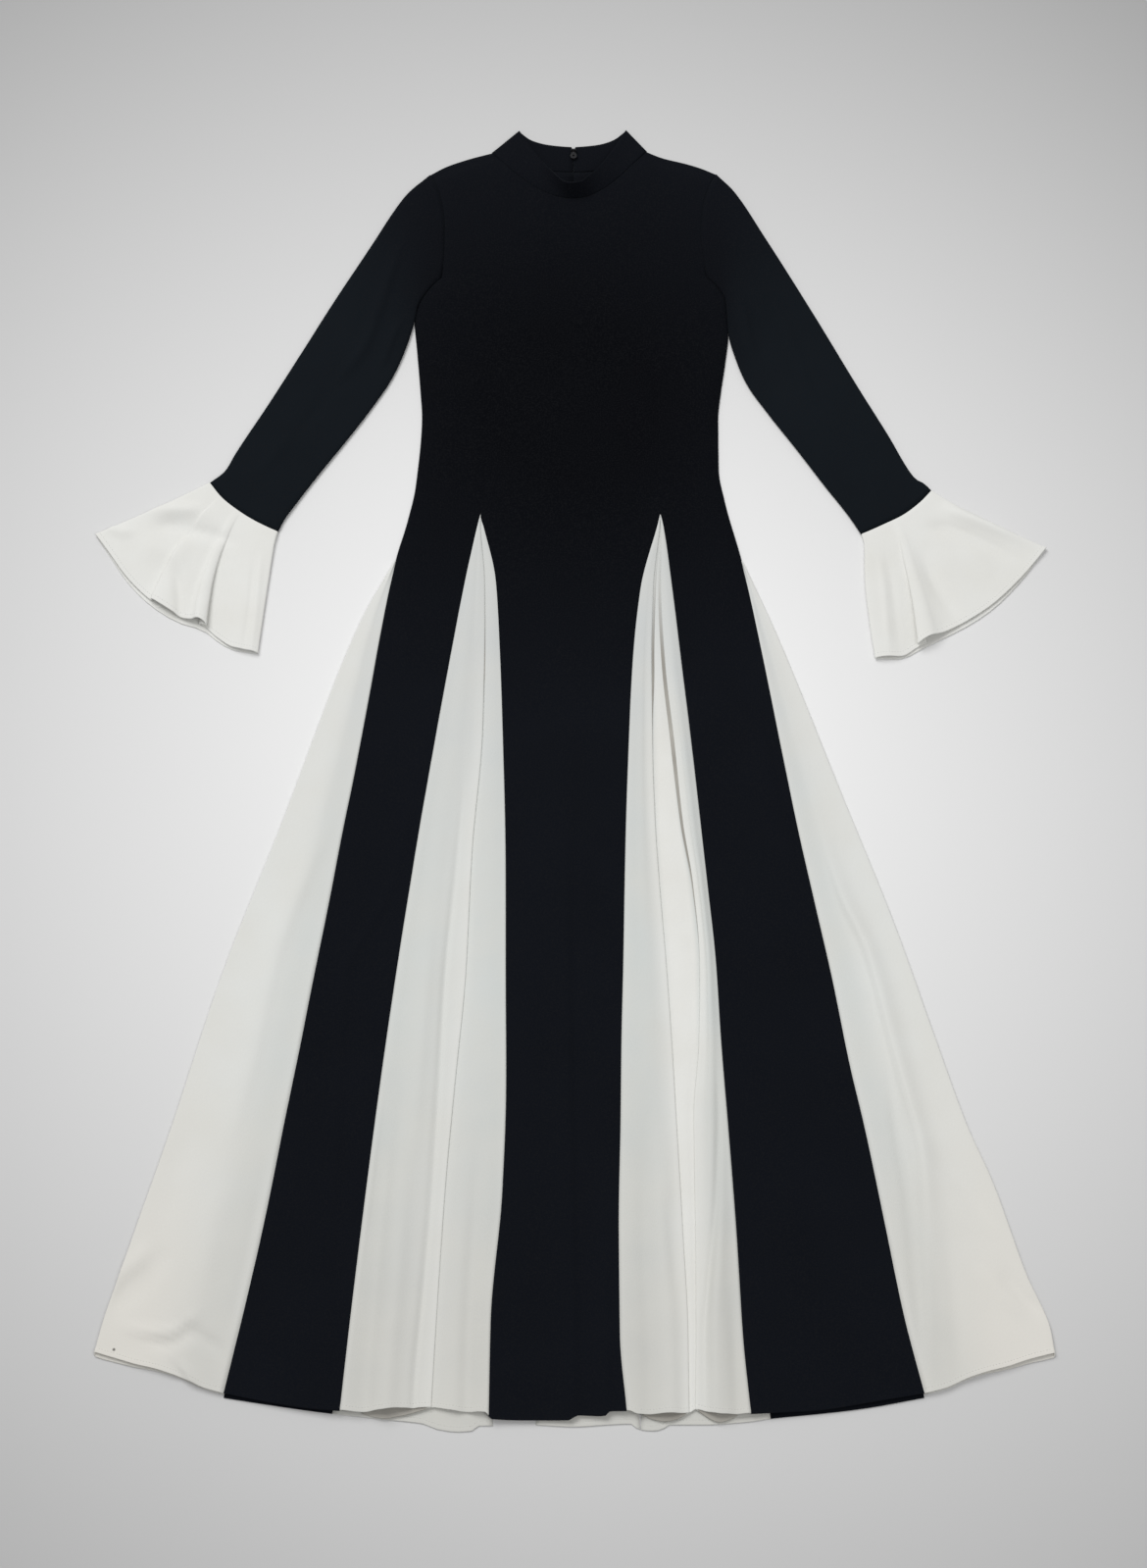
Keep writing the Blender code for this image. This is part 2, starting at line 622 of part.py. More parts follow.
def make_side_godets():
    """The two white side godets, each folded over the side edge and let in between front and back."""
    sides = (
        ("godet_side_left", left_side, LEFT_OUTER, LEFT_SIDE_HEM, -1),
        ("godet_side_right", right_side, RIGHT_OUTER, RIGHT_SIDE_HEM, 1),
    )
    for name, side, outer_table, hem_table, way in sides:
        sections = []
        for row in SKIRT_ROWS:
            y = row_y(row, outer_table[0][0])
            outer = smooth(outer_table, y)
            seam = side(row) + way * SEAM
            place, ridge, edge = (smooth(SIDE_RIDGE, y, 0, column) for column in (1, 2, 3))
            width = outer - seam
            corners = [
                (seam, side_z(row)),
                (seam + 0.08 * width, side_z(row) + 0.1),
                (seam + (place - 0.14) * width, ridge - 0.6),
                (seam + place * width, ridge),
                (seam + (place + 0.18) * width, 0.5 * (ridge + edge)),
                (seam + 0.85 * width, edge),
                (outer, edge),
                (outer, BACK_Z),
                (seam + 0.8 * width, BACK_Z),
                (seam + 0.5 * width, BACK_Z),
                (seam + 0.2 * width, BACK_Z),
                (seam, BACK_Z),
            ]
            sections.append(spread(soften(corners, 2), SIDE_COLUMNS))

        def hem(x, z):
            return smooth(hem_table, x) - LOWER_HEM_DROP * fade(FRONT_Z, BACK_Z, z)

        cloth(name, [skirt(SKIRT_ROWS, sections, hem)], "white crepe")


def tube_point(top, bottom, outer, inner, down, across):
    """Point in the plan of a flat tube between its end seams and its outer and inner edges."""
    start = top(across)
    end = bottom(across)
    a = along(outer, down)
    b = along(inner, down)
    ends = (1 - down) * start + down * end
    edges = (1 - across) * a + across * b
    first = (1 - across) * top(0) + across * top(1)
    last = (1 - across) * bottom(0) + across * bottom(1)
    return ends + edges - (1 - down) * first - down * last


def flat_tube(name, plan, rows, section, material, drop=0.0):
    """A tube laid flat: its upper layer, and its lower layer, whose end hangs lower by up to a drop."""
    grid = []
    for down in rows:
        row = []
        for place, z in section(down):
            x, y = tube_point(*plan, down, place)
            lower = drop * down ** 3 * 4 * place * (1 - place) if z <= BACK_Z else 0.0
            row.append((x, y - lower, z))
        grid.append(row)
    cloth(name, [grid], material)


def sleeve_section(down):
    """Places across a sleeve and their heights, round the tube."""
    rise = SLEEVE_RIDGE * fade(0.05, 0.3, down) * fade(0.85, 0.6, down)
    upper = []
    for share in RING_SHARES:
        ridge = rise * math.exp(-(((share - SLEEVE_RIDGE_PLACE) / 0.07) ** 2))
        upper.append((share, FRONT_Z + ridge))
    middle = (FRONT_Z + BACK_Z) / 2
    lower = [(share, BACK_Z) for share in reversed(RING_SHARES)]
    return [(0.0, middle), *upper, (1.0, middle), *lower, (0.0, middle)]


def cuff_section(flutes):
    """A function that gives the places across a cuff and their heights at a share of its length."""
    def section(down):
        late = fade(TUCK_START, 1, down) ** 1.2
        middle = (FRONT_Z + BACK_Z) / 2
        upper = []
        for seam_place, hem_place, tuck, height in flutes:
            place = seam_place + (hem_place - seam_place) * down - tuck * late
            upper.append((place, FRONT_Z + (height - FRONT_Z) * down))
        corners = [(0.0, middle), (0.0, FRONT_Z), *upper, (1.0, FRONT_Z), (1.0, middle)]
        upper = spread(soften(corners, 2), CUFF_COLUMNS)
        lower = [(share, BACK_Z) for share in reversed(RING_SHARES)]
        return [*upper, *lower, (0.0, middle)]
    return section


def make_sleeves_and_cuffs():
    """Sleeves set into the armholes, and the cuffs that flare from their ends."""
    sides = (
        ("left", LEFT_ARMHOLE, LEFT_SLEEVE_OUTER, LEFT_SLEEVE_INNER, LEFT_CUFF_SEAM,
         LEFT_CUFF_OUTER, LEFT_CUFF_INNER, LEFT_CUFF_HEM, LEFT_FLUTES, -1),
        ("right", RIGHT_ARMHOLE, RIGHT_SLEEVE_OUTER, RIGHT_SLEEVE_INNER, RIGHT_CUFF_SEAM,
         RIGHT_CUFF_OUTER, RIGHT_CUFF_INNER, RIGHT_CUFF_HEM, RIGHT_FLUTES, 1),
    )
    for side, armhole, outer, inner, cuff_seam, cuff_outer, cuff_inner, cuff_hem, flutes, way in sides:
        off_body = np.array((way * 1.5 * SEAM, 0.0))
        off_sleeve = np.array((way * 0.6, -0.8)) * 1.5 * SEAM

        def armhole_end(share):
            return along_seam(armhole, share) + off_body * (1 + share ** 2)

        def sleeve_end(share):
            return along_seam(cuff_seam, share)

        def cuff_start(share):
            return along_seam(cuff_seam, share) + off_sleeve

        def cuff_end(share):
            return along(cuff_hem, share)

        sleeve_outer = np.array(outer, float)
        sleeve_outer[0] += off_body
        sleeve_inner = np.array(inner, float)
        sleeve_inner[0] += 2 * off_body
        plan = (armhole_end, sleeve_end, sleeve_outer, sleeve_inner)
        flat_tube("sleeve_" + side, plan, SLEEVE_ROWS, sleeve_section, "black crepe")
        lower_outer = np.array(cuff_outer, float)
        lower_outer[0] += off_sleeve
        lower_inner = np.array(cuff_inner, float)
        lower_inner[0] += off_sleeve
        plan = (cuff_start, cuff_end, lower_outer, lower_inner)
        flat_tube("cuff_" + side, plan, CUFF_ROWS, cuff_section(flutes), "white crepe", CUFF_DROP)


def make_collar():
    """Stand collar, open at the centre back, its back on the surface and its front standing up."""
    def back_column(share):
        low = along(BACK_NECK, share)
        x = low[0]
        if share == 0.5:
            x = 0.0
        top = [smooth(COLLAR_BACK, share, 0, column) for column in (1, 2)]
        return (x, low[1] + SEAM, BACK_Z), (*top, BACK_Z)

    def front_column(share):
        low = along(FRONT_NECK, share)
        top = [smooth(COLLAR_FRONT, share, 0, column) for column in (1, 2, 3)]
        return (low[0], low[1] + 1.3 * SEAM, FRONT_Z), tuple(top)

    def fold_column(share, way):
        low, top = front_column(share)
        return (low[0] + way, low[1] + 1, (FRONT_Z + BACK_Z) / 2), (top[0], top[1] + 0.6, COLLAR_FOLD_Z)

    halves = [0.5 * share for share in BACK_SHARES]
    columns = [back_column(share) for share in reversed(halves)]
    columns.append(fold_column(0.0, -1))
    columns += [front_column(share) for share in MIDDLE_SHARES]
    columns.append(fold_column(1.0, 1))
    columns += [back_column(1 - share) for share in halves]
    for number, way in ((0, -1), (-1, 1)):
        columns[number] = tuple((way * SEAM / 2, y, z) for x, y, z in columns[number])
    grid = []
    for rise in COLLAR_ROWS:
        grid.append([np.array(low) + (np.array(top) - low) * rise for low, top in columns])
    cloth("collar", [grid], "black crepe")


def solid(name, material):
    """The object last added, named and given its material, in the dress's collection."""
    piece = bpy.context.object
    piece.name = name
    piece.data.name = name
    for group in piece.users_collection:
        group.objects.unlink(piece)
    dress.objects.link(piece)
    piece.data.materials.append(materials[material])
    return piece


def helper(piece, kind, target):
    """Moves a shape to the cutters and joins it to, or cuts it from, its target."""
    for group in piece.users_collection:
        group.objects.unlink(piece)
    cutters.objects.link(piece)
    piece.hide_render = True
    piece.display_type = "WIRE"
    work = target.modifiers.new(kind.lower(), "BOOLEAN")
    work.operation = kind
    work.object = piece


def box(x, y, z, width, length, height):
    """A box by its centre and its sizes in plan millimetres."""
    place = ((x - CENTRE_X) / 1000, (y - CENTRE_Y) / 1000, z / 1000)
    bpy.ops.mesh.primitive_cube_add(size=1, location=place)
    piece = bpy.context.object
    for corner in piece.data.vertices:
        corner.co = (corner.co.x * width / 1000, corner.co.y * length / 1000, corner.co.z * height / 1000)
    return piece


def rod(x, y, z, radius, length, upright, sides=20):
    """A round rod along z where it is upright, and otherwise along x."""
    place = ((x - CENTRE_X) / 1000, (y - CENTRE_Y) / 1000, z / 1000)
    turn = (0, 0, 0) if upright else (0, math.pi / 2, 0)
    bpy.ops.mesh.primitive_cylinder_add(
        vertices=sides, radius=radius / 1000, depth=length / 1000, location=place, rotation=turn,
    )
    return bpy.context.object


def make_zip():
    """Slider with two ears and a pin, and the pull with its barrel on the pin and a round eye."""
    ear_x = BARREL_LENGTH / 2 + GAP + EAR_WIDTH / 2
    slider_y = PIN_Y + BARREL_RADIUS - SLIDER_LENGTH / 2
    box(0, slider_y, WALL + GAP + SLIDER_HEIGHT / 2, SLIDER_WIDTH, SLIDER_LENGTH, SLIDER_HEIGHT)
    slider = solid("zip_slider", "dark metal")
    ear_height = PIN_Z + PIN_RADIUS - SLIDER_TOP + 2 * EAR_OVERLAP
    ear_z = SLIDER_TOP - EAR_OVERLAP + ear_height / 2
    for side in (-1, 1):
        ear = box(side * ear_x, PIN_Y, ear_z, EAR_WIDTH, EAR_LENGTH, ear_height)
        helper(ear, "UNION", slider)
    helper(rod(0, PIN_Y, PIN_Z, PIN_RADIUS, 2 * ear_x, upright=False), "UNION", slider)

    pull_z = PIN_Z - BARREL_RADIUS + PULL_THICKNESS / 2
    rod(0, EYE_Y, pull_z, EYE_RADIUS, PULL_THICKNESS, upright=True, sides=28)
    pull = solid("zip_pull", "dark metal")
    neck = box(0, (PIN_Y + EYE_Y) / 2, pull_z, PULL_NECK, PIN_Y - EYE_Y, 0.9 * PULL_THICKNESS)
    helper(neck, "UNION", pull)
    helper(rod(0, PIN_Y, PIN_Z, BARREL_RADIUS, BARREL_LENGTH, upright=False), "UNION", pull)
    helper(rod(0, PIN_Y, PIN_Z, PIN_RADIUS + GAP, BARREL_LENGTH + 2, upright=False), "DIFFERENCE", pull)
    helper(rod(0, EYE_Y, pull_z, EYE_HOLE, PULL_THICKNESS + 2, upright=True, sides=16), "DIFFERENCE", pull)


for thing in list(bpy.data.objects):
    bpy.data.objects.remove(thing)
dress = bpy.data.collections.new("dress")
cutters = bpy.data.collections.new("cutters")
bpy.context.scene.collection.children.link(dress)
bpy.context.scene.collection.children.link(cutters)
materials = {}
for colour_name, (colour, roughness, metallic) in COLOURS.items():
    material = bpy.data.materials.new(colour_name)
    material.use_nodes = True
    shader = material.node_tree.nodes["Principled BSDF"]
    shader.inputs["Base Color"].default_value = colour
    shader.inputs["Roughness"].default_value = roughness
    shader.inputs["Metallic"].default_value = metallic
    materials[colour_name] = material
make_front()
make_back()
make_back_godets()
make_front_godets()
make_side_godets()
make_sleeves_and_cuffs()
make_collar()
make_zip()
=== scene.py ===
"""Looks of a long black dress with white godets and white bell cuffs, laid flat on its back.

Sizes are millimetres in the plan of the laid dress, as in the part's source: x runs from the centre
line towards the right, y up from the lowest hem towards the collar, z is the height above the floor.
Each cloth piece is a thin shell on its solid's middle surface, with the folds and creases that show.
"""

import json
import math

import bpy
import numpy as np
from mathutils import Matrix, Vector

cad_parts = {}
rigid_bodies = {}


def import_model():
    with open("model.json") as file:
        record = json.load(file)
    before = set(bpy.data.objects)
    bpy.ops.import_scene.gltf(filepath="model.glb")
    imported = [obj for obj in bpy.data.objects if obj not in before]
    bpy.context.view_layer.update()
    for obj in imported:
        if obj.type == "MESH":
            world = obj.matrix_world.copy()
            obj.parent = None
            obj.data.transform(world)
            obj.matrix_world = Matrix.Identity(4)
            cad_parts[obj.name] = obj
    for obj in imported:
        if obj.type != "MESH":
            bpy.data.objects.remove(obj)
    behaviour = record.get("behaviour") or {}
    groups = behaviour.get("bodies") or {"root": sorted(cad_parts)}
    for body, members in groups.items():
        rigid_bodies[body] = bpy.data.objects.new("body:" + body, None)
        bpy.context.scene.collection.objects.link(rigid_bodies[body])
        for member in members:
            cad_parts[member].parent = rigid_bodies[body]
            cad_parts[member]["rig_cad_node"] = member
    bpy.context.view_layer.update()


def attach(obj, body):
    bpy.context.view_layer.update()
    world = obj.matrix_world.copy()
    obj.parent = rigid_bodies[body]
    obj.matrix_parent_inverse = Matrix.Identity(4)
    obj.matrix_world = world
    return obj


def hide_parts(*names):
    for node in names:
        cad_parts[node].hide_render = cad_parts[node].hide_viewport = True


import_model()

# Thickness of plain cloth, of a turned hem and of the collar, a hem's depth, the plan's centre, and
# how close points are joined into one
CLOTH = 0.8
HEM_CLOTH = 1.4
HEM_DEPTH = 5.0
COLLAR_CLOTH = 1.5
CENTRE_X = -3.5
CENTRE_Y = 767.03
WELD = 0.02

# Heights of the back layer, of a layer that lies on it, of the front of the dress, how much more the
# front rises at the godets' hems, its height where it is closed on the back, and at the neck's ends
BACK_Z = 0.7
LYING_Z = 2.1
FRONT_Z = 4.6
SEAM_RISE = 3.0
CLOSED_Z = 1.4
NECK_END_Z = CLOSED_Z + 0.6
MIDDLE_Z = (FRONT_Z + BACK_Z) / 2

# Width and slope of the level part of a lobe at its fold, the lobe's height there over the layer below
# it, the gap inside the fold, the largest share of the lobe's height that the step may be, and how
# much higher that layer lies than one that lies close
FOLD_SHOULDER = 7.0
FOLD_SLOPE = 0.4
FOLD_STEP = 2.2
FOLD_CLOSED = 0.95
FOLD_SHARE = 0.8
UNDER_RISE = 0.5

# How far from a side the front rounds down to it, the share of the way up from the underarm at which
# the front starts to fall to the shoulder, and the shares of the neckline and of an armhole at each
# end that are lower
SIDE_ROUND = 22.0
SHOULDER_PRESS = 0.12
NECK_EASE = 0.10
ARMHOLE_END = 0.12

# Heights in the plan of the godets' tips, of where the front ones start to close, and of the underarms
SIDE_TIP_Y = 964.0
BACK_TIP_Y = 988.0
GODET_TIP_Y = 1020.0
TIP_START_Y = GODET_TIP_Y - 12
UNDERARM_Y = 1330.0

# Height in the plan below which the folds of the front godets lie in full layers
LAYERS_FULL_Y = 620.0

# Cell sizes, the places of rows near a hem and of columns near a seam, how many columns a strip of the
# front or back and a flat or side godet have, the rows of front and back above the underarm, and how
# cloth dips at a seam
FRONT_CELL = 6.0
BACK_CELL = 14.0
HEM_ROWS = (0.0, 0.7, 1.6, 2.8, 4.0, 4.8, 5.6, 7.0, 10.0, 15.0)
EDGE_COLUMNS = (0.0, 0.8, 1.8, 3.4)
STRIP_COLUMNS = (22, 30, 26)
BACK_COLUMNS = 12
BACK_GODET_COLUMNS = 24
SIDE_COLUMNS = 64
BODY_ROWS = 40
BACK_BODY_ROWS = 24
SEAM_DEPTH = 0.55
SEAM_WIDTH = 1.3

# How far the back's inner hems end above the front's, how much a raised hem draws back, how far up
# from the hem that reaches, and how far the inside of a front godet's fold hangs below its hem
HEM_UNDER = 1.5
HEM_PULL = 0.4
HEM_REACH = 45.0
UNDER_DROP = 6.0

# Where a turned hem thins, before and after its depth, and how its stitches press it in: their
# distance from its end, the dent's width, and its share of the hem's thickness
HEM_THINNING = (0.2, 0.8)
STITCH_IN = 0.4
PRESS_WIDTH = 0.5
STITCH_PRESS = 0.35

# Sewing of a hem: its place, the length of a stitch and of its pitch, the thread, and its height
STITCH_LINE = 4.6
STITCH = 2.0
STITCH_PITCH = 3.2
THREAD = 0.32
THREAD_RISE = 0.6

# Unevenness of laid cloth: height, size of its waves, seed
UNEVEN = ((0.6, 150, 0.4), (0.3, 62, 1.9), (0.05, 21, 3.1))

# Side seams of front and back: height, x
LEFT_SIDE = (
    (34, -356), (126, -337), (217, -320), (310, -305), (388, -292), (470, -279), (555, -265),
    (640, -252), (700, -242), (803, -226.5), (870, -217), (964, -201.5), (1013, -189),
    (1058, -180.5), (1143, -175), (1179, -177.5), (1233, -182.5), (1272, -186), (1290, -183),
    (1306, -176), (1319, -167), (1330, -156),
)
RIGHT_SIDE = (
    (34, 357), (112, 339.5), (210, 323), (310, 306), (376, 293), (470, 277.5), (568, 259),
    (640, 245.5), (721, 232), (873, 207), (964, 190.5), (1037, 173), (1079, 166.5), (1143, 167),
    (1179, 171), (1215, 176.5), (1256, 181), (1280, 180), (1298, 179), (1312, 173), (1322, 166),
    (1330, 157),
)

# Armholes from the shoulder to where sleeve and side part at the underarm: x, y
LEFT_ARMHOLE = ((-172, 1470), (-164, 1456), (-157, 1433), (-153, 1400), (-153, 1362), (-156, 1330))
RIGHT_ARMHOLE = ((171, 1471), (161, 1452), (153, 1420), (151, 1388), (153, 1358), (157, 1330))

# Shoulder seams from the armhole to the neck: x, y
LEFT_SHOULDER = ((-172, 1470), (-152, 1482), (-124, 1493), (-111, 1497), (-97, 1501))
RIGHT_SHOULDER = ((171, 1471), (152, 1480), (135, 1486), (107, 1494), (87, 1503))

# Necklines from left to right: x, y
FRONT_NECK = (
    (-97, 1501), (-80, 1481), (-64, 1466), (-49, 1454), (-34, 1445), (-18, 1439), (-3, 1437),
    (14, 1439), (34, 1449), (51, 1463), (70, 1483), (87, 1503),
)
BACK_NECK = (
    (-97, 1501), (-74, 1490), (-48, 1480), (-22, 1476), (0, 1475), (22, 1476), (46, 1481),
    (68, 1491), (87, 1503),
)

# Hems of the front and back layers: x, y
FRONT_HEM = (
    (-356, 34), (-304, 24), (-262, 18), (-237, 16), (-218, 14), (-194, 14), (-178, 17), (-145, 20),
    (-117, 16), (-90, 14), (-82, 8), (-50, 7), (-4, 7), (4, 12), (31, 11), (38, 16), (54, 16),
    (66, 12), (93, 12), (118, 15), (124, 18), (150, 11), (180, 13), (250, 17), (296, 24), (357, 34),
)
BACK_HEM = (
    (-356, 30), (-304, 22), (-261, 16), (-189, 8), (-152, 4), (-140, -1), (-118, -4), (-102, -3),
    (-96, 2), (-79, 2), (-45, 3), (0, 1), (35, 3), (58, 4), (65, -1), (78, -3), (89, -2), (96, 3),
    (131, 3), (179, 6), (199, 9), (251, 14), (294, 19), (357, 30),
)

# Left front godet, with one lobe that turns back under itself to the left. fold is the lobe's edge,
# crest the crease beside it, tuck how far the cloth turns back. Below zero the fold opens to a step.
LEFT_GODET = (
    # height, left, right, crest, fold, tuck, lobe
    (14, -237, -86, -161, -145, 70, 12.5),
    (108, -229, -85, -154, -141, 40, 12),
    (244, -216, -74, -148, -134, 25, 11.5),
    (350, -205, -71, -142, -126, 22, 11),
    (474, -190.5, -72.5, -136, -116, 18, 10.5),
    (612, -172.5, -74, -126, -111, 12, 9.6),
    (759, -151, -78.5, -111, -101, 4, 8.4),
    (865, -134.5, -83, -108, -100, -3, 7),
    (939, -122.5, -88, -107, -101, -4, 5.6),
    (1008, -109, -103, -107, -106, -1, 4.8),
    (1020, -106.1, -105.9, -106.05, -106, 0, 4.6),
)

# Right front godet, an inverted pleat with a lobe on each side of its recess
RIGHT_GODET = (
    # height, left, right, left fold, right fold, left tuck, right tuck, lobe
    (14, 54, 180, 117, 124, 46, 42, 11.5),
    (92, 47.5, 173.5, 117, 126, 32, 29, 11.5),
    (200, 47, 169, 113, 127, 24, 20, 11),
    (313, 49.5, 162.5, 108, 127, 22, 16, 10.5),
    (402, 51, 157, 104, 134, 19, 9, 10),
    (490, 53.5, 153, 99, 136, 15, 4, 9.5),
    (577, 55.5, 145.5, 93, 130, 11, 1, 9),
    (649, 57.5, 139, 89, 120, 7, -2, 8.4),
    (740, 61, 130.5, 87, 112, 2, -4, 7.6),
    (835, 66, 121, 87, 103, -3, -4, 6.5),
    (930, 76, 111.5, 90, 99, -3, -3, 5.4),
    (1008, 96, 102, 98.3, 99.7, -0.4, -0.4, 4.8),
    (1020, 98.9, 99.1, 98.98, 99.02, 0, 0, 4.6),
)

# Side godets: their outer folds (height, x) and hems (x, y), and the soft ridge along each, with its
# share of the way from seam to outer fold, its height, and the height at the outer fold
LEFT_OUTER = (
    (76, -490), (115, -481), (155, -469), (186, -460), (307, -424), (477, -377), (640, -322),
    (887, -240), (964, -202.5),
)
RIGHT_OUTER = (
    (75, 492), (100, 489), (155, 468), (252, 438), (310, 415), (410, 384), (535, 346), (687, 293),
    (873, 228), (964, 191.5),
)
LEFT_SIDE_HEM = (
    (-490, 76), (-470, 70), (-446, 63), (-428, 59), (-409, 53), (-393, 47), (-378, 40), (-356, 34),
)
RIGHT_SIDE_HEM = ((357, 34), (378, 39), (404, 50), (423, 56), (443, 61), (468, 69), (492, 75))
SIDE_RIDGE = (
    # height, share, ridge, edge
    (30, 0.42, 5.6, 4.6),
    (130, 0.40, 5.6, 4.2),
    (283, 0.38, 5.7, 3.6),
    (376, 0.36, 5.7, 3.4),
    (490, 0.38, 5.6, 3.4),
    (640, 0.42, 5.2, 3.4),
    (800, 0.45, 4.8, 3.4),
    (940, 0.50, 3.6, 3.0),
)

# How far a side godet's lower hem hangs below its upper one at the outer corner, the share of that
# further in, and how far from the centre line it starts and is full
LOWER_HEM_DROP = 4.5
INNER_DROP = 0.2
CORNER_REACH = (410.0, 480.0)

# Back godets, flat: left and right at the hem, and x of the tip
BACK_LEFT_GODET = (-245, -82, -106)
BACK_CENTRE_GODET = (-38, 67.6, 0)
BACK_RIGHT_GODET = (68.4, 200, 100)

# Sleeve edges from shoulder and underarm to the cuff: x, y
LEFT_SLEEVE_OUTER = (
    (-172, 1470), (-198, 1444), (-216, 1416), (-237, 1377), (-280.5, 1299), (-317, 1230),
    (-355, 1159), (-389, 1098), (-400, 1076), (-417, 1061),
)
LEFT_SLEEVE_INNER = (
    (-156, 1330), (-166.3, 1320.3), (-175.6, 1307), (-183.3, 1291), (-186.5, 1272), (-196, 1236),
    (-211, 1197), (-233, 1159), (-263, 1114), (-294, 1070), (-320.5, 1030), (-330.5, 1014), (-337, 999),
)
RIGHT_SLEEVE_OUTER = (
    (171, 1471), (191, 1448), (227, 1384), (284, 1276), (332, 1181), (363, 1122), (387, 1073.5),
    (393, 1065.5), (402, 1060), (410, 1051),
)
RIGHT_SLEEVE_INNER = (
    (157, 1330), (166.3, 1322.3), (173.3, 1312.2), (179.4, 1298.2), (180.4, 1280), (181.8, 1254),
    (190, 1220), (201, 1190), (225, 1151), (258, 1103), (290, 1055), (307.5, 1030), (319, 1012),
    (328, 996),
)

# Seams between sleeve and cuff, from the outer to the inner edge: x, y
LEFT_CUFF_SEAM = ((-417, 1061), (-402, 1042), (-383, 1026), (-362, 1012), (-337, 999))
RIGHT_CUFF_SEAM = ((410, 1051), (396, 1036), (376, 1020), (353, 1008), (328, 996))

# Cuff edges from the seam down, and hems from the outer to the inner edge: x, y
LEFT_CUFF_OUTER = ((-417, 1061), (-463, 1036), (-544, 996))
LEFT_CUFF_INNER = ((-337, 999), (-340, 986), (-345, 941), (-354, 850))
LEFT_CUFF_HEM = (
    (-544, 996), (-528, 974), (-504, 941), (-475, 913), (-443, 893), (-418, 884), (-400, 869),
    (-382, 857), (-354, 850),
)
RIGHT_CUFF_OUTER = ((410, 1051), (434, 1034), (472, 1012), (537, 979))
RIGHT_CUFF_INNER = ((328, 996), (331, 982), (330, 940), (334, 879), (338, 844))
RIGHT_CUFF_HEM = (
    (537, 979), (507, 943), (473, 910), (446, 891), (416, 874), (386, 857), (367, 846), (338, 844),
)

# Folds across the upper layer of each cuff, from its outer to its inner edge. A tuck takes the cloth
# back under its flute.
LEFT_FLUTES = (
    # place at the seam, place at the hem, tuck, height at the hem
    (0.10, 0.10, 0, 4.6),
    (0.16, 0.30, 0, 3.8),
    (0.20, 0.435, 0, 2.8),
    (0.205, 0.432, 0, 6.0),
    (0.215, 0.44, 0, 8.6),
    (0.28, 0.50, 0, 10.0),
    (0.36, 0.58, 0, 9.0),
    (0.42, 0.635, 0, 6.8),
    (0.44, 0.655, 0, 8.6),
    (0.465, 0.675, 0, 13.5),
    (0.49, 0.705, 0, 13.5),
    (0.505, 0.73, 0, 11.0),
    (0.512, 0.73, 0, 7.8),
    (0.517, 0.73, 0.04, 6.2),
    (0.527, 0.73, 0.04, 2.7),
    (0.58, 0.78, 0, 2.6),
    (0.70, 0.85, 0, 3.4),
    (0.85, 0.92, 0, 5.8),
    (0.95, 0.97, 0, 5.8),
)
RIGHT_FLUTES = (
    # place at the seam, place at the hem, tuck, height at the hem
    (0.08, 0.08, 0, 3.2),
    (0.20, 0.25, 0, 3.2),
    (0.36, 0.48, 0, 3.6),
    (0.48, 0.63, 0, 4.2),
    (0.53, 0.68, 0, 7.5),
    (0.56, 0.72, 0, 12.5),
    (0.585, 0.76, 0, 13.0),
    (0.60, 0.795, 0, 10.5),
    (0.607, 0.795, 0, 7.6),
    (0.612, 0.795, 0.045, 6.2),
    (0.622, 0.795, 0.045, 2.7),
    (0.68, 0.84, 0, 2.6),
    (0.78, 0.88, 0, 3.6),
    (0.88, 0.93, 0, 6.0),
    (0.95, 0.97, 0, 6.0),
)

# Share of a cuff's length where its tucks start, how far its lower hem hangs below its upper one, how
# many layers show through it, and its columns round the upper and the lower layer
TUCK_START = 0.3
CUFF_DROP = 6.0
CUFF_LAYERS = 0.92
CUFF_COLUMNS = (180, 24)

# Share of a sleeve's length over which it grows lighter than the body as painted sheen, its cell as a
# share of that length, its columns round the upper and the lower layer, and how far it closes at the
# armhole's ends
PAINTED_SHEEN_REACH = 0.45
SLEEVE_CELL = 0.014
SLEEVE_COLUMNS = (40, 16)
ARMHOLE_PRESS = 0.6

# Width of a flat sleeve or cuff, and how far from its edges its upper and lower layers round
TUBE_WIDTH = 90.0
UPPER_ROUND = 5.0
LOWER_ROUND = 3.0

# Upper edge of the collar by share of the way round the front or back neckline
COLLAR_FRONT = (
    # share, x, y, height
    (0.0, -65, 1531, 3.2),
    (0.12, -54, 1512, 6),
    (0.27, -41, 1490, 10),
    (0.42, -25, 1466, 17),
    (0.5, -7, 1448, 22),
    (0.585, 8, 1450, 21),
    (0.65, 18, 1461, 17),
    (0.75, 31, 1477, 12),
    (0.88, 47, 1503, 7),
    (1.0, 63, 1532, 3.2),
)
COLLAR_BACK = (
    # share, x, y
    (0.0, -65, 1531),
    (0.165, -50, 1519),
    (0.33, -28, 1512.5),
    (0.5, -0.4, 1510),
    (0.67, 27, 1512.5),
    (0.835, 47, 1519),
    (1.0, 63, 1532),
)

# Height of the collar's folds at the sides, half the gap at its back ends, how much wider that is at
# the top, and its columns round half the back and round the front, and its rows
COLLAR_FOLD_Z = 1.9
COLLAR_GAP = 0.1
COLLAR_NOTCH = 2.6
COLLAR_COLUMNS = (20, 64)
COLLAR_ROWS = 16

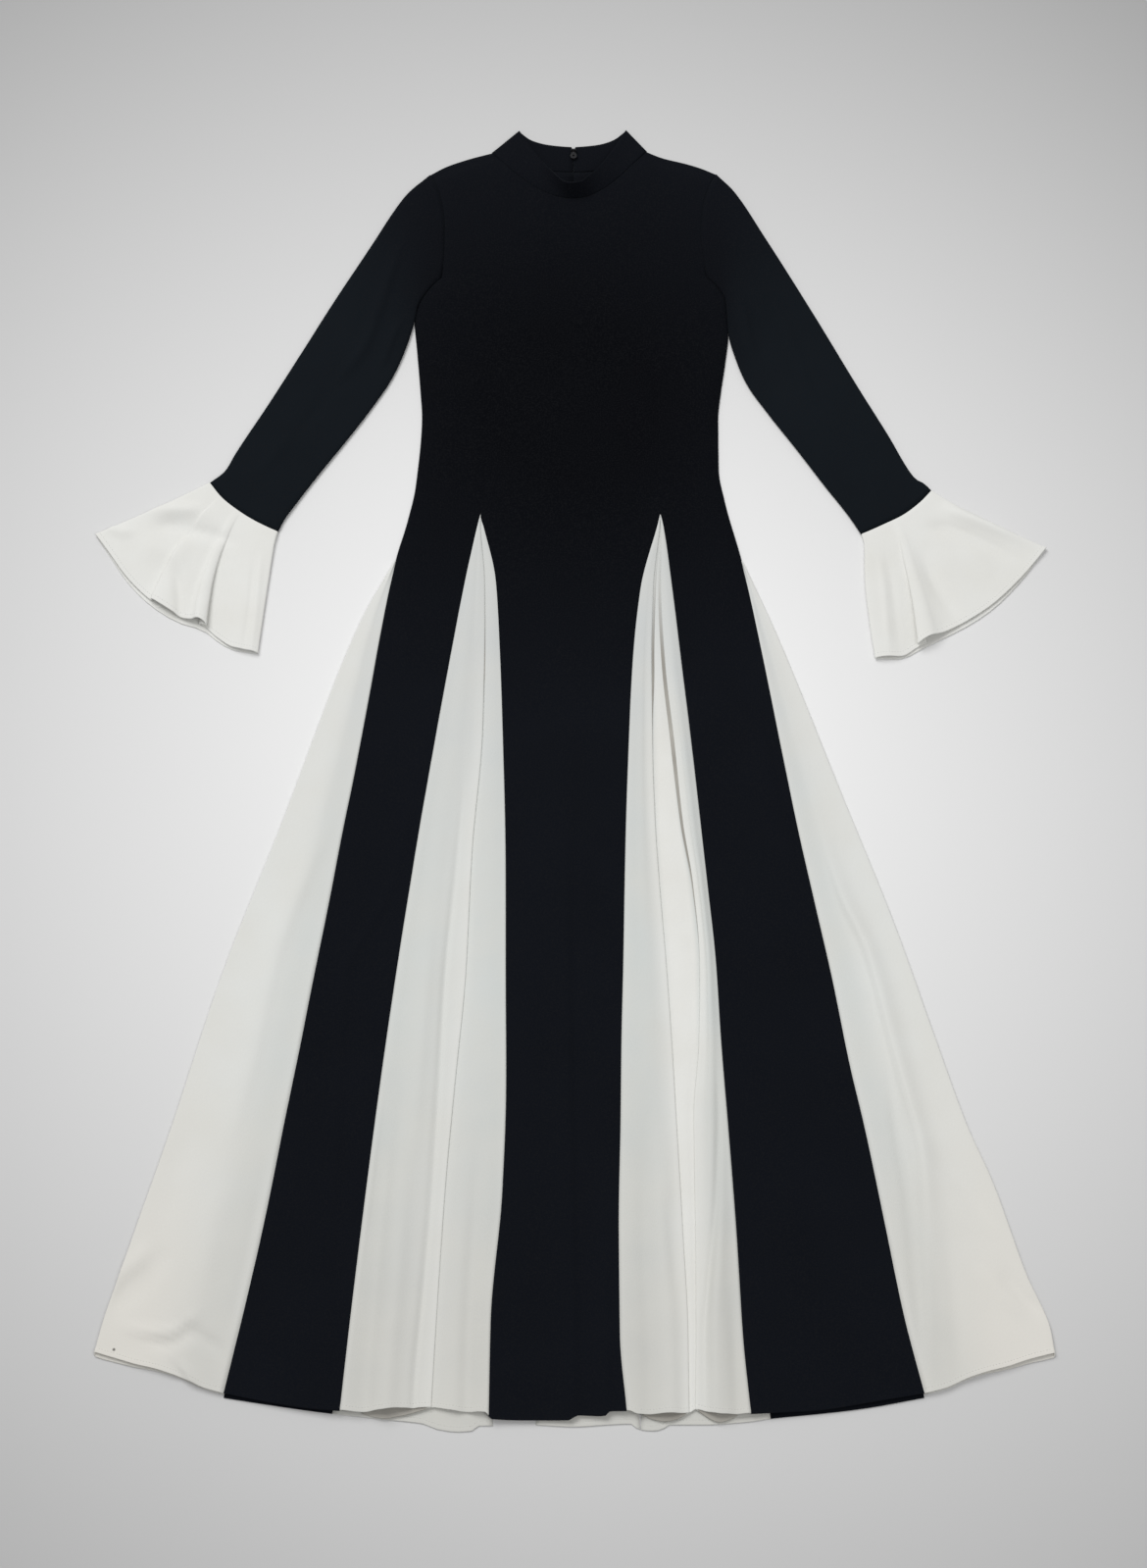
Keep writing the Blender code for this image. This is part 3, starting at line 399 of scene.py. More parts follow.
# Creases: height (below zero a trough), width on each side of the line, and the line's points
FRONT_CREASES = (
    (2.4, 12, 3, ((1, -250), (1, 13), (-3, 286), (-6, 482), (-3, 700), (-2, 800))),
    (1.8, 9, 3, ((36, -160), (35, 19), (33, 260))),
    (1.2, 7, 4, ((-252, -160), (-251, 159), (-248, 350), (-245, 468), (-193, 584), (-155, 846))),
    (1.4, 14, 5, ((254, 550), (231, 640), (198, 810))),
    (0.9, 22, 18, ((-60, 150), (-40, 560))),
    (-0.8, 20, 24, ((90, 1060), (60, 1240))),
    (0.8, 26, 20, ((-96, 1090), (-60, 1290))),
    (-0.8, 16, 20, ((270, 60), (236, 420))),
)
SLEEVE_CREASES = (
    (3.0, 7, 5, ((-298, 1150), (-285, 1174), (-243, 1238), (-230, 1280), (-212, 1346), (-196, 1400))),
    (2.2, 5, 4, ((-228, 1200), (-222, 1215), (-207, 1261), (-200, 1280))),
    (-1.4, 8, 8, ((-330, 1100), (-262, 1215))),
    (1.2, 8, 6, ((-372, 1060), (-318, 1130))),
    (2.6, 5, 7, ((286, 1150), (275, 1178), (250, 1253), (238, 1290))),
    (2.4, 5, 5, ((214, 1215), (209, 1230), (197, 1299), (194, 1315))),
    (-1.4, 9, 8, ((310, 1120), (240, 1260))),
    (1.2, 8, 6, ((360, 1062), (306, 1140))),
)
LEFT_GODET_CREASES = (
    (-2.4, 4.5, 2.5, (
        (-164, -220), (-162, 26), (-154, 142), (-147, 244), (-142, 349), (-137, 474), (-127, 600),
        (-118, 760),
    )),
    (-4.6, 12, 9, ((-212, -150), (-211, 26), (-205, 142), (-194, 300), (-182, 420))),
    (2.2, 9, 9, ((-190, -150), (-188, 26), (-182, 142), (-174, 300))),
    (-4.6, 7, 8, ((-110, -150), (-109, 58), (-103, 227), (-97, 340))),
    (1.2, 7, 6, ((-124, -100), (-122, 60), (-114, 250))),
    (1.2, 8, 8, ((-170, 240), (-152, 560))),
)
RIGHT_GODET_CREASES = (
    (-3.0, 4, 4, ((133, -60), (134, 92), (141, 158), (149, 242), (152, 330), (150, 420))),
    (1.6, 5, 6, ((144, -60), (145, 92), (150, 170), (157, 250))),
    (-3.8, 10, 11, ((78, -150), (78, 30), (74, 200), (76, 380))),
    (2.0, 9, 9, ((100, -150), (101, 30), (95, 200), (92, 340))),
    (-1.4, 6, 8, ((96, 250), (106, 120))),
    (-1.8, 7, 7, ((164, -150), (165, 40), (158, 180))),
)
SIDE_CREASES = (
    (2.6, 14, 9, ((-372, 240), (-363, 283), (-342, 376), (-322, 490), (-294, 581), (-253, 681))),
    (3.0, 5, 4, ((-470, 104), (-446, 98), (-418, 95), (-393, 109), (-376, 122))),
    (-2.6, 5, 5, ((-446, 88), (-418, 84), (-392, 92), (-372, 104))),
    (-3.0, 5, 6, ((-414, 106), (-387, 93), (-352, 72))),
    (-3.0, 12, 9, ((-484, 118), (-462, 136), (-436, 158), (-410, 184))),
    (1.8, 9, 9, ((-484, 146), (-458, 164), (-430, 188))),
    (-1.6, 9, 8, ((-348, 60), (-343, 110), (-331, 200), (-318, 290))),
    (2.2, 3, 4, ((-404, 66), (-393, 54), (-384, 38))),
    (-1.4, 4, 3, ((-412, 70), (-402, 52), (-394, 36))),
    (-1.4, 18, 14, ((-440, 140), (-400, 330))),
    (1.2, 12, 12, ((-384, 120), (-372, 260))),
    (6.0, 4.5, 12, (
        (372, 130), (368, 224), (364, 285), (351, 345), (339, 399), (316, 500), (289, 568), (262, 681),
    )),
    (-5.0, 8, 6, ((358, 60), (356, 150), (352, 230), (342, 310), (328, 400))),
    (-2.2, 9, 8, ((372, 300), (389, 276), (428, 216), (444, 196))),
    (-2.2, 8, 8, ((438, 166), (453, 142), (488, 104))),
    (1.8, 8, 7, ((420, 170), (436, 146), (470, 104))),
    (1.4, 5, 8, ((364, 10), (364, 132), (350, 240))),
    (-1.4, 8, 9, ((392, 10), (392, 110), (384, 220))),
)
CUFF_CREASES = (
    (6.0, 9, 8, ((-500, 1030), (-470, 1026), (-436, 1026), (-400, 1018), (-366, 1000))),
    (-5.2, 8, 7, ((-490, 1008), (-450, 1004), (-410, 994), (-372, 984))),
    (3.0, 16, 16, ((-500, 985), (-470, 975), (-430, 968))),
    (-3.4, 6, 7, ((-456, 970), (-446, 930), (-440, 860))),
    (2.4, 6, 6, ((-540, 1012), (-520, 1000), (-496, 996))),
    (1.2, 3, 4, ((-354, 990), (-356, 930), (-362, 830))),
    (-1.0, 3, 3, ((-362, 980), (-364, 920), (-372, 830))),
    (6.0, 9, 8, ((372, 1030), (410, 1034), (440, 1020), (487, 998), (530, 976))),
    (-6.0, 8, 7, ((380, 1012), (420, 1004), (470, 982), (530, 950))),
    (2.6, 16, 16, ((400, 985), (440, 970), (490, 945))),
    (-2.8, 9, 9, ((392, 985), (412, 930), (444, 870))),
    (1.2, 4, 5, ((344, 985), (350, 930), (354, 830))),
    (-1.0, 4, 5, ((352, 985), (361, 930), (368, 830))),
)


def ease(start, end, at):
    """Smooth share from 0 at start to 1 at end, level outside them."""
    share = np.clip((at - start) / (end - start), 0.0, 1.0)
    return share * share * (3 - 2 * share)


def fade(start, end, at):
    """Straight share from 0 at start to 1 at end, level outside them."""
    return np.clip((at - start) / (end - start), 0.0, 1.0)


def smooth(table, at, key=0, value=1):
    """Values of a table's column where its key column is `at`, on a cubic that never overshoots."""
    rows = np.array(sorted(table, key=lambda row: row[key]), float)
    keys = rows[:, key]
    values = rows[:, value]
    steps = np.diff(keys)
    rises = np.diff(values) / steps
    slopes = np.concatenate([rises[:1], np.zeros(len(rises) - 1), rises[-1:]])
    same_way = rises[:-1] * rises[1:] > 0
    means = 2 * rises[:-1] * rises[1:] / np.where(same_way, rises[:-1] + rises[1:], 1.0)
    slopes[1:-1] = np.where(same_way, means, 0.0)
    at = np.clip(at, keys[0], keys[-1])
    row = np.clip(np.searchsorted(keys, at) - 1, 0, len(steps) - 1)
    share = (at - keys[row]) / steps[row]
    mix = share * share * (3 - 2 * share)
    start = share * (1 - share) ** 2 * steps[row] * slopes[row]
    end = share * share * (share - 1) * steps[row] * slopes[row + 1]
    return values[row] * (1 - mix) + values[row + 1] * mix + start + end


def along(points, share):
    """Points at shares of the length of a smooth line through some points."""
    points = np.array(points, float)
    lengths = np.concatenate([[0.0], np.cumsum(np.linalg.norm(np.diff(points, axis=0), axis=1))])
    at = np.asarray(share) * lengths[-1]
    return np.stack([smooth(np.column_stack([lengths, values]), at) for values in points.T], axis=-1)


def soften(points, rounds=4):
    """Rounds the corners of a line of points as cloth does, keeping both ends."""
    points = np.array(points, float)
    for _ in range(rounds):
        near = 0.75 * points[:-1] + 0.25 * points[1:]
        far = 0.25 * points[:-1] + 0.75 * points[1:]
        cut = np.stack([near, far], axis=1).reshape(-1, points.shape[1])
        points = np.concatenate([points[:1], cut[1:-1], points[-1:]])
    return points


def spread(points, count):
    """A count of points, evenly numbered along a longer line of them."""
    at = np.linspace(0, len(points) - 1, count)
    return np.column_stack([np.interp(at, range(len(points)), values) for values in points.T])


def steps(start, end, size):
    """Even steps of about a size from start to end."""
    return np.linspace(start, end, max(2, round(abs(end - start) / size) + 1))


def ripple(x, y, size, seed):
    """Soft unevenness of laid cloth, from -1 to 1, with waves of about a size."""
    total = 0
    for number in range(5):
        turn = seed + 2.4 * number
        wave = size * (0.7 + 0.22 * number)
        ahead = x * math.cos(turn) + y * math.sin(turn)
        total = total + np.sin(2 * math.pi * ahead / wave + 5.3 * turn)
    return total / 5


def crease_height(creases, x, y):
    """Height that creases add at points of an upper layer. Each fades out towards both its ends."""
    total = np.zeros(np.shape(x))
    for height, before, after, line in creases:
        line = np.array(line, float)
        upright = np.ptp(line[:, 1]) >= np.ptp(line[:, 0])
        here, there = (y, x) if upright else (x, y)
        table = line[:, ::-1] if upright else line
        low = table[:, 0].min()
        high = table[:, 0].max()
        slope = np.ptp(table[:, 1]) / (high - low)
        away = (there - smooth(table, here)) / math.hypot(1, slope)
        run = 0.35 * (high - low)
        strength = ease(low, low + run, here) * ease(high, high - run, here)
        total += height * strength * np.exp(-((away / np.where(away < 0, before, after)) ** 2))
    return total


def draw_up(points):
    """Draws a hem back where its cloth rises off the layer below."""
    rise = np.clip(points[..., 2] - FRONT_Z, 0, None)
    points[..., 1] += HEM_PULL * rise * ease(HEM_REACH, 0, points[..., 4])


def uneven(points):
    """Lets upper layers rise and fall a little, all together, while the back layer stays flat."""
    x, y, z = points[..., 0], points[..., 1], points[..., 2]
    upper = fade(BACK_Z, FRONT_Z, z)
    points[..., 2] = z + upper * sum(height * ripple(x, y, size, seed) for height, size, seed in UNEVEN)


def seam_groove(away):
    """How far cloth dips at a distance from its seam."""
    return SEAM_DEPTH * np.exp(-((away / SEAM_WIDTH) ** 2))


def new_piece(name, points, faces, material):
    """A smooth piece in the scene, from points in the plan."""
    mesh = bpy.data.meshes.new(name)
    mesh.from_pydata(((points - (CENTRE_X, CENTRE_Y, 0)) / 1000).tolist(), [], faces)
    mesh.materials.append(material)
    mesh.shade_smooth()
    piece = bpy.data.objects.new(name, mesh)
    bpy.context.scene.collection.objects.link(piece)
    return piece


def cloth(name, grids, material, hem=True, wall=CLOTH):
    """One cloth piece: grids of (x, y, z, layers, distance from the hem), welded and given a wall."""
    points = np.concatenate([grid.reshape(-1, 5) for grid in grids])
    keys = np.round(points[:, :3] / WELD).astype(np.int64)
    _, first, place = np.unique(keys, axis=0, return_index=True, return_inverse=True)
    place = place.reshape(-1)
    points = points[first]
    faces = []
    start = 0
    for grid in grids:
        rows, columns = grid.shape[:2]
        index = place[start:start + rows * columns].reshape(rows, columns)
        start += rows * columns
        quads = np.stack([index[:-1, :-1], index[:-1, 1:], index[1:, 1:], index[1:, :-1]], axis=-1)
        for quad in quads.reshape(-1, 4).tolist():
            corners = list(dict.fromkeys(quad))
            if len(corners) > 2:
                faces.append(corners)
    piece = new_piece("cloth_" + name, points[:, :3], faces, material)
    attribute = piece.data.attributes.new("layers", "FLOAT", "POINT")
    attribute.data.foreach_set("value", points[:, 3].astype(np.float32))
    shell = piece.modifiers.new("wall", "SOLIDIFY")
    shell.offset = 0
    shell.thickness = wall / 1000
    if hem:
        shell.thickness = HEM_CLOTH / 1000
        weights = piece.vertex_groups.new(name="thickness")
        band = 1 - ease(HEM_DEPTH - HEM_THINNING[0], HEM_DEPTH + HEM_THINNING[1], points[:, 4])
        stitch = np.exp(-(((points[:, 4] - HEM_DEPTH + STITCH_IN) / PRESS_WIDTH) ** 2))
        shares = CLOTH / HEM_CLOTH + (1 - CLOTH / HEM_CLOTH) * band - STITCH_PRESS * stitch
        for share in np.unique(np.round(shares, 2)):
            where = np.flatnonzero(np.round(shares, 2) == share)
            weights.add(where.tolist(), float(share), "REPLACE")
        shell.vertex_group = "thickness"
    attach(piece, "dress")
    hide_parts(name)
    if hem:
        stitches(name, grids, material)


def stitches(name, grids, material):
    """Sewing of a hem: short threads in a row over the cloth, along the edge of each grid that has one."""
    points = []
    faces = []
    for grid in grids:
        from_hem = grid[..., 4].mean(axis=1)
        row = int(np.argmin(np.abs(from_hem - STITCH_LINE)))
        if abs(from_hem[row] - STITCH_LINE) > 1:
            continue
        line = grid[row, :, :3]
        inward = 1 if from_hem[row + 1] > from_hem[row] else -1
        normal = np.cross(np.gradient(line, axis=0), grid[row + inward, :, :3] - line)
        normal *= np.sign(normal[2:len(normal) // 5, 2].sum())
        normal /= np.linalg.norm(normal, axis=1)[:, None] + 1e-9
        lengths = np.concatenate([[0], np.cumsum(np.linalg.norm(np.diff(line, axis=0), axis=1))])
        for start in np.arange(STITCH, lengths[-1] - 2 * STITCH, STITCH_PITCH):
            ends = np.array([start, start + STITCH * (0.9 + 0.2 * math.sin(start))])
            first, last = (np.array([np.interp(at, lengths, values) for values in line.T]) for at in ends)
            up = np.array([np.interp(start + STITCH / 2, lengths, values) for values in normal.T])
            up /= np.linalg.norm(up) + 1e-9
            side = np.cross(last - first, up)
            side *= THREAD / (np.linalg.norm(side) + 1e-9)
            lift = THREAD_RISE * up
            centre = (first + last) / 2 + lift
            base = len(points)
            points += [first + lift * 0.7, last + lift * 0.7]
            points += [centre + THREAD * up, centre + side, centre - THREAD * up, centre - side]
            for corner in range(4):
                here = base + 2 + corner
                there = base + 2 + (corner + 1) % 4
                faces += [(base, here, there), (base + 1, there, here)]
    piece = new_piece("stitches_" + name, np.array(points), faces, material)
    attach(piece, "dress")


def row_y(row, foot):
    """Height of a skirt row over its foot on the hem: the rows close up towards the side godets' tips."""
    return np.where(row >= SIDE_TIP_Y, row, foot + row * (SIDE_TIP_Y - foot) / SIDE_TIP_Y)


def side_x(side, row):
    """x of a side seam at a skirt row."""
    return smooth(side, row_y(row, side[0][0]))


def skirt(rows, sections, hem):
    """Grid of a skirt piece from its sections, each a row of (x, height, layers) points."""
    sections = np.array(sections, float)
    feet = hem(sections[0, :, 0], sections[0, :, 1])
    rows = np.array(rows, float)[:, None]
    y = row_y(rows, feet[None, :])
    from_hem = np.broadcast_to(rows, y.shape)
    return np.stack([sections[..., 0], y, sections[..., 1], sections[..., 2], from_hem], axis=-1)


def skirt_rows(top, cell):
    """Rows from the hem to a height, close together at the hem."""
    return np.unique(np.concatenate([HEM_ROWS, steps(22, SIDE_TIP_Y, cell), steps(SIDE_TIP_Y, top, cell)]))


def front_hem(x, z):
    """Hem of the front at places across it."""
    return smooth(FRONT_HEM, x)


def back_hem(x, z):
    """Hem of the back at places across it."""
    return smooth(BACK_HEM, x)


def inner_back_hem(x, z):
    """Hem of the back's black strips between the godets, which end under the front."""
    return np.maximum(back_hem(x, z), front_hem(x, z) + HEM_UNDER)


def slit(godet, column, row):
    """x of a front godet's left (column 1) or right (column 2) seam, or of the line above its tip."""
    y = row_y(row, godet[0][0])
    own, other = smooth(godet, y, 0, column), smooth(godet, y, 0, 3 - column)
    return own + 0.5 * (other - own) * fade(TIP_START_Y, GODET_TIP_Y, row)


def back_slit(godet, column, row):
    """x of a back godet's left (column 0) or right (column 1) seam, or of the line above its tip."""
    return godet[column] + (godet[2] - godet[column]) * fade(0, BACK_TIP_Y, row)


def seam_z(row):
    """Height of the front layer at the front godets' seams, which the lobes raise towards the hem."""
    return FRONT_Z + SEAM_RISE * fade(700, 0, row) ** 1.5


def side_z(row):
    """Height of the front layer at its side: closed on the back above the side godets."""
    return CLOSED_Z + (FRONT_Z - CLOSED_Z) * ease(SIDE_TIP_Y + 4, SIDE_TIP_Y - 80, row)


def across(a, b, count):
    """Places from a to b, close together at both ends, where the seams are."""
    width = abs(b - a)
    near = np.array(EDGE_COLUMNS) * min(1.0, 0.2 * width / EDGE_COLUMNS[-1])
    middle = np.linspace(near[-1], width - near[-1], count)
    places = np.concatenate([near[:-1], middle, width - near[-2::-1]])
    return a + (b - a) * places / width


def flat_section(start, end, count):
    """Points (x, height, layers) across the back layer between two edges."""
    x = np.linspace(start, end, count)
    return np.column_stack([x, np.full(count, BACK_Z), np.zeros(count)])


def front_strip(rows, left, right, height, count):
    """Sections of one strip of the front between two edges."""
    sections = []
    for row in rows:
        start, end = (float(edge(*values, row)) for edge, *values in (left, right))
        x = across(start, end, count)
        sections.append(np.column_stack([x, height[0](row, x, *height[1:]), np.zeros(len(x))]))
    return sections


def body_top(foot, top, left, right, level):
    """Grid from the underarm row to the top edge, between its left and right edges, bottom to top.

    The cloth lies at a level height, and falls to the edges' heights only near them."""
    place = np.linspace(0, 1, len(foot))[None, :, None]
    rise = np.linspace(0, 1, len(left))[:, None, None]
    grid = foot[None] + (top - foot)[None] * rise
    start = left - grid[:, 0]
    end = right - grid[:, -1]
    grid = grid + start[:, None] * (1 - place) + end[:, None] * place
    x = grid[..., 0]
    z = np.full(x.shape, level)
    for edge in (left, right):
        away = np.abs(x - edge[:, None, 0])
        z -= (level - edge[:, None, 2]) * (1 - np.sqrt(1 - (1 - fade(0, SIDE_ROUND, away)) ** 2))
    pressed = ease(1 - SHOULDER_PRESS, 1, rise[..., 0])
    grid[..., 2] = z + (np.minimum(z, top[None, :, 2]) - z) * pressed
    return far_from_hem(grid)


def far_from_hem(grid):
    """A grid of (x, y, z) with its other two values: no layers, and no hem near."""
    rest = np.zeros(grid.shape[:2] + (2,))
    rest[..., 1] = UNDERARM_Y
    return np.concatenate([grid, rest], axis=-1)


def armhole_edge(points, count, low, high):
    """Edge of a body panel up an armhole: closed on the other layer at both ends, high between them."""
    share = np.linspace(0, 1, count)
    z = low + (high - low) * ease(0, ARMHOLE_END, share) * ease(1, 1 - ARMHOLE_END, share)
    return np.column_stack([along(points, 1 - share), z])


def make_front():
    """Front panel: three strips that part below the godets' tips, and the body above the underarm."""
    rows = skirt_rows(UNDERARM_Y, FRONT_CELL)
    rows = np.unique(np.append(rows, GODET_TIP_Y))

    def outer_height(row, x, side_seam, godet, column):
        side = side_x(side_seam, row)
        seam = slit(godet, column, row)
        away = np.abs(x - side)
        share = away / abs(seam - side)
        low = side_z(row)
        z = low + (FRONT_Z - low) * np.sqrt(1 - (1 - fade(0, SIDE_ROUND, away)) ** 2)
        z = z + (seam_z(row) - FRONT_Z) * share ** 4
        open_side = ease(SIDE_TIP_Y, SIDE_TIP_Y - 20, row)
        open_seam = ease(GODET_TIP_Y, TIP_START_Y, row)
        return z - open_side * seam_groove(away) - open_seam * seam_groove(abs(seam - side) - away)

    def middle_height(row, x):
        a = slit(LEFT_GODET, 2, row)
        b = slit(RIGHT_GODET, 1, row)
        share = (x - a) / (b - a)
        open_seam = ease(GODET_TIP_Y, TIP_START_Y, row)
        z = FRONT_Z + (seam_z(row) - FRONT_Z) * (2 * share - 1) ** 4
        return z - open_seam * (seam_groove(x - a) + seam_groove(b - x))

    strips = (
        # edges, each a function with its first values, then the height's function with its last values
        ((side_x, LEFT_SIDE), (slit, LEFT_GODET, 1), (outer_height, LEFT_SIDE, LEFT_GODET, 1)),
        ((slit, LEFT_GODET, 2), (slit, RIGHT_GODET, 1), (middle_height,)),
        ((slit, RIGHT_GODET, 2), (side_x, RIGHT_SIDE), (outer_height, RIGHT_SIDE, RIGHT_GODET, 2)),
    )
    grids = [
        skirt(rows, front_strip(rows, *strip, count), front_hem)
        for strip, count in zip(strips, STRIP_COLUMNS)
    ]
    foot = np.concatenate([grids[0][-1], grids[1][-1][1:], grids[2][-1][1:]])[:, :3]
    shares = [np.abs(grid[-1][:, 0] - grid[-1][0, 0]) / np.ptp(grid[-1][:, 0]) for grid in grids]
    shoulder = along(LEFT_SHOULDER, shares[0])
    neck = along(FRONT_NECK, shares[1])[1:]
    other = along(RIGHT_SHOULDER, 1 - shares[2])[1:]
    near_end = np.minimum(shares[1], 1 - shares[1])[1:]
    neck_z = NECK_END_Z + (FRONT_Z - NECK_END_Z) * ease(0, NECK_EASE, near_end)
    shoulder_z = np.full(len(shoulder), CLOSED_Z)
    shoulder_z[-1] = NECK_END_Z
    top = np.column_stack([
        np.concatenate([shoulder, neck, other]),
        np.concatenate([shoulder_z, neck_z, np.full(len(other), CLOSED_Z)]),
    ])
    left = armhole_edge(LEFT_ARMHOLE, BODY_ROWS, CLOSED_Z, FRONT_Z - SEAM_DEPTH)
    right = armhole_edge(RIGHT_ARMHOLE, BODY_ROWS, CLOSED_Z, FRONT_Z - SEAM_DEPTH)
    grids.append(body_top(foot, top, left, right, FRONT_Z))
    for grid in grids:
        uneven(grid)
        grid[..., 2] += crease_height(FRONT_CREASES, grid[..., 0], grid[..., 1])
    cloth("front", grids, black)


def make_back():
    """Two back panels, flat, that meet at the centre-back seam above the centre godet."""
    rows = skirt_rows(UNDERARM_Y, BACK_CELL)
    rows = np.unique(np.append(rows, BACK_TIP_Y))
    sides = (
        # name, side, own godet, its column nearer the side, shoulder, armhole, way from the centre, area
        ("back_left", LEFT_SIDE, BACK_LEFT_GODET, 0, LEFT_SHOULDER, LEFT_ARMHOLE, -1, 0.258),
        ("back_right", RIGHT_SIDE, BACK_RIGHT_GODET, 1, RIGHT_SHOULDER, RIGHT_ARMHOLE, 1, 0.262),
    )
    for name, side, godet, near, shoulder, armhole, way, area in sides:
        outer = []
        inner = []
        for row in rows:
            a = float(side_x(side, row))
            b = float(back_slit(godet, near, row))
            c = float(back_slit(godet, 1 - near, row))
            d = float(back_slit(BACK_CENTRE_GODET, near, row))
            for section, start, end in ((outer, a, b), (inner, c, d)):
                section.append(flat_section(start, end, BACK_COLUMNS))
        grids = [skirt(rows, outer, back_hem), skirt(rows, inner, inner_back_hem)]
        foot = np.concatenate([grids[0][-1], grids[1][-1][1:]])[:, :3]
        share = np.linspace(0, 1, BACK_COLUMNS)
        top = np.concatenate([along(shoulder, share), along(BACK_NECK, 0.5 + way * 0.5 * (1 - share))[1:]])
        top[-1] = (0, BACK_NECK[4][1])
        top = np.column_stack([top, np.full(len(top), BACK_Z)])
        edge = armhole_edge(armhole, BACK_BODY_ROWS, BACK_Z, BACK_Z)
        centre = foot[-1] + (top[-1] - foot[-1]) * np.linspace(0, 1, BACK_BODY_ROWS)[:, None]
        grids.append(body_top(foot, top, edge, centre, BACK_Z))
        cloth(name, grids, black)


def make_back_godets():
    """Three flat white godets in the back, of which only the hems show below the front."""
    godets = (
        ("godet_back_left", BACK_LEFT_GODET, 0.164, 0.080),
        ("godet_back_centre", BACK_CENTRE_GODET, 0.101, 0.049),
        ("godet_back_right", BACK_RIGHT_GODET, 0.125, 0.061),
    )
    rows = skirt_rows(BACK_TIP_Y, BACK_CELL)
    for name, godet, width, area in godets:
        edges = [(float(back_slit(godet, 0, row)), float(back_slit(godet, 1, row))) for row in rows]
        # Flat sections carry no layers, so these godets take the greyer white over black: painted shade on
        # the hems below the front.
        sections = [flat_section(left, right, BACK_GODET_COLUMNS) for left, right in edges]
        grid = skirt(rows, sections, back_hem)
        cloth(name, [grid], white)


def between(start, end, *corners):
    """Corner points from (share of the way from start to end, height, layers)."""
    return [(start + share * (end - start), height, layers) for share, height, layers in corners]


def knife(fold, tuck, top, low, shoulder):
    """Corner points of a fold: along the lobe from its shoulder, round its edge, and back under it.

    Each is (x, height, layers). Layers below zero mark the inside of the fold, darkened as painted shade."""
    middle = low + FOLD_CLOSED
    return [
        (fold - shoulder, top + FOLD_SLOPE, 0.6),
        (fold, top, 0.8),
        (fold, middle, 0.8),
        (fold - 0.1 * tuck, middle, -1.0),
        (fold - tuck, middle, -1.0),
        (fold - tuck, low, -1.0),
    ]


def fold_heights(row, lobe):
    """Heights of the layer under a lobe, and of the lobe's fold over it, at one row."""
    low = LYING_Z + UNDER_RISE * fade(TIP_START_Y, 900, row)
    return low, low + min(FOLD_STEP, (lobe - low) * FOLD_SHARE)


def left_godet_section(row):
    """Corner points (x, height, layers) across the left front godet at one row."""
    y = row_y(row, LEFT_GODET[0][0])
    left, right, crest, fold, tuck, lobe = (smooth(LEFT_GODET, y, 0, column) for column in range(1, 7))
    edge = seam_z(row)
    low, top = fold_heights(row, lobe)
    closed = fade(0, FOLD_STEP, top - low)
    return [
        *between(
            left, crest, (0, edge, 0.3), (0.1, edge + 0.3, 0.0), (0.3, edge + 0.75 * (lobe - edge), 0.05),
            (0.55, lobe, 0.15), (0.85, 0.5 * (lobe + top), 0.35),
        ),
        (crest, top + 0.8, 0.45),
        *knife(fold, tuck, top, low, min(FOLD_SHOULDER, 0.4 * (fold - crest))),
        (fold + 1.2, low + 0.2, 0.4),
        *between(
            fold, right, (0.1, low + 1.5 * closed, 0.3), (0.25, low + 1.8 * closed, 0.2),
            (0.6, low + 0.3 * (edge - low) + 1.6, 0.1), (0.9, edge - 0.2, 0.0),
        ),
        (right, edge, 0.3),
    ]


def right_godet_section(row):
    """Corner points (x, height, layers) across the right front godet at one row."""
    y = row_y(row, RIGHT_GODET[0][0])
    left, right, first, second, tuck, other_tuck, lobe = (
        smooth(RIGHT_GODET, y, 0, column) for column in range(1, 8)
    )
    edge = seam_z(row)
    low, top = fold_heights(row, lobe)
    shoulder = min(FOLD_SHOULDER, 0.3 * (first - left))
    other_shoulder = min(FOLD_SHOULDER, 0.3 * (right - second))
    return [
        *between(left, first, (0, edge, 0.3), (0.12, edge + 0.3, 0.0), (0.5, lobe, 0.0)),
        *knife(first, tuck, top, low, shoulder),
        # The recess between the folds has full layers, so it takes the brightest white: painted light on
        # the flat recess.
        *between(first, second, (0.15, low + 0.2, 1.2)),
        ((first + second) / 2, low + 0.9, 1.2),
        *between(second, first, (0.15, low + 0.2, 1.2)),
        *reversed(knife(second, -other_tuck, top, low, -other_shoulder)),
        *between(right, second, (0.5, lobe, 0.0), (0.12, edge + 0.3, 0.0), (0, edge, 0.3)),
    ]


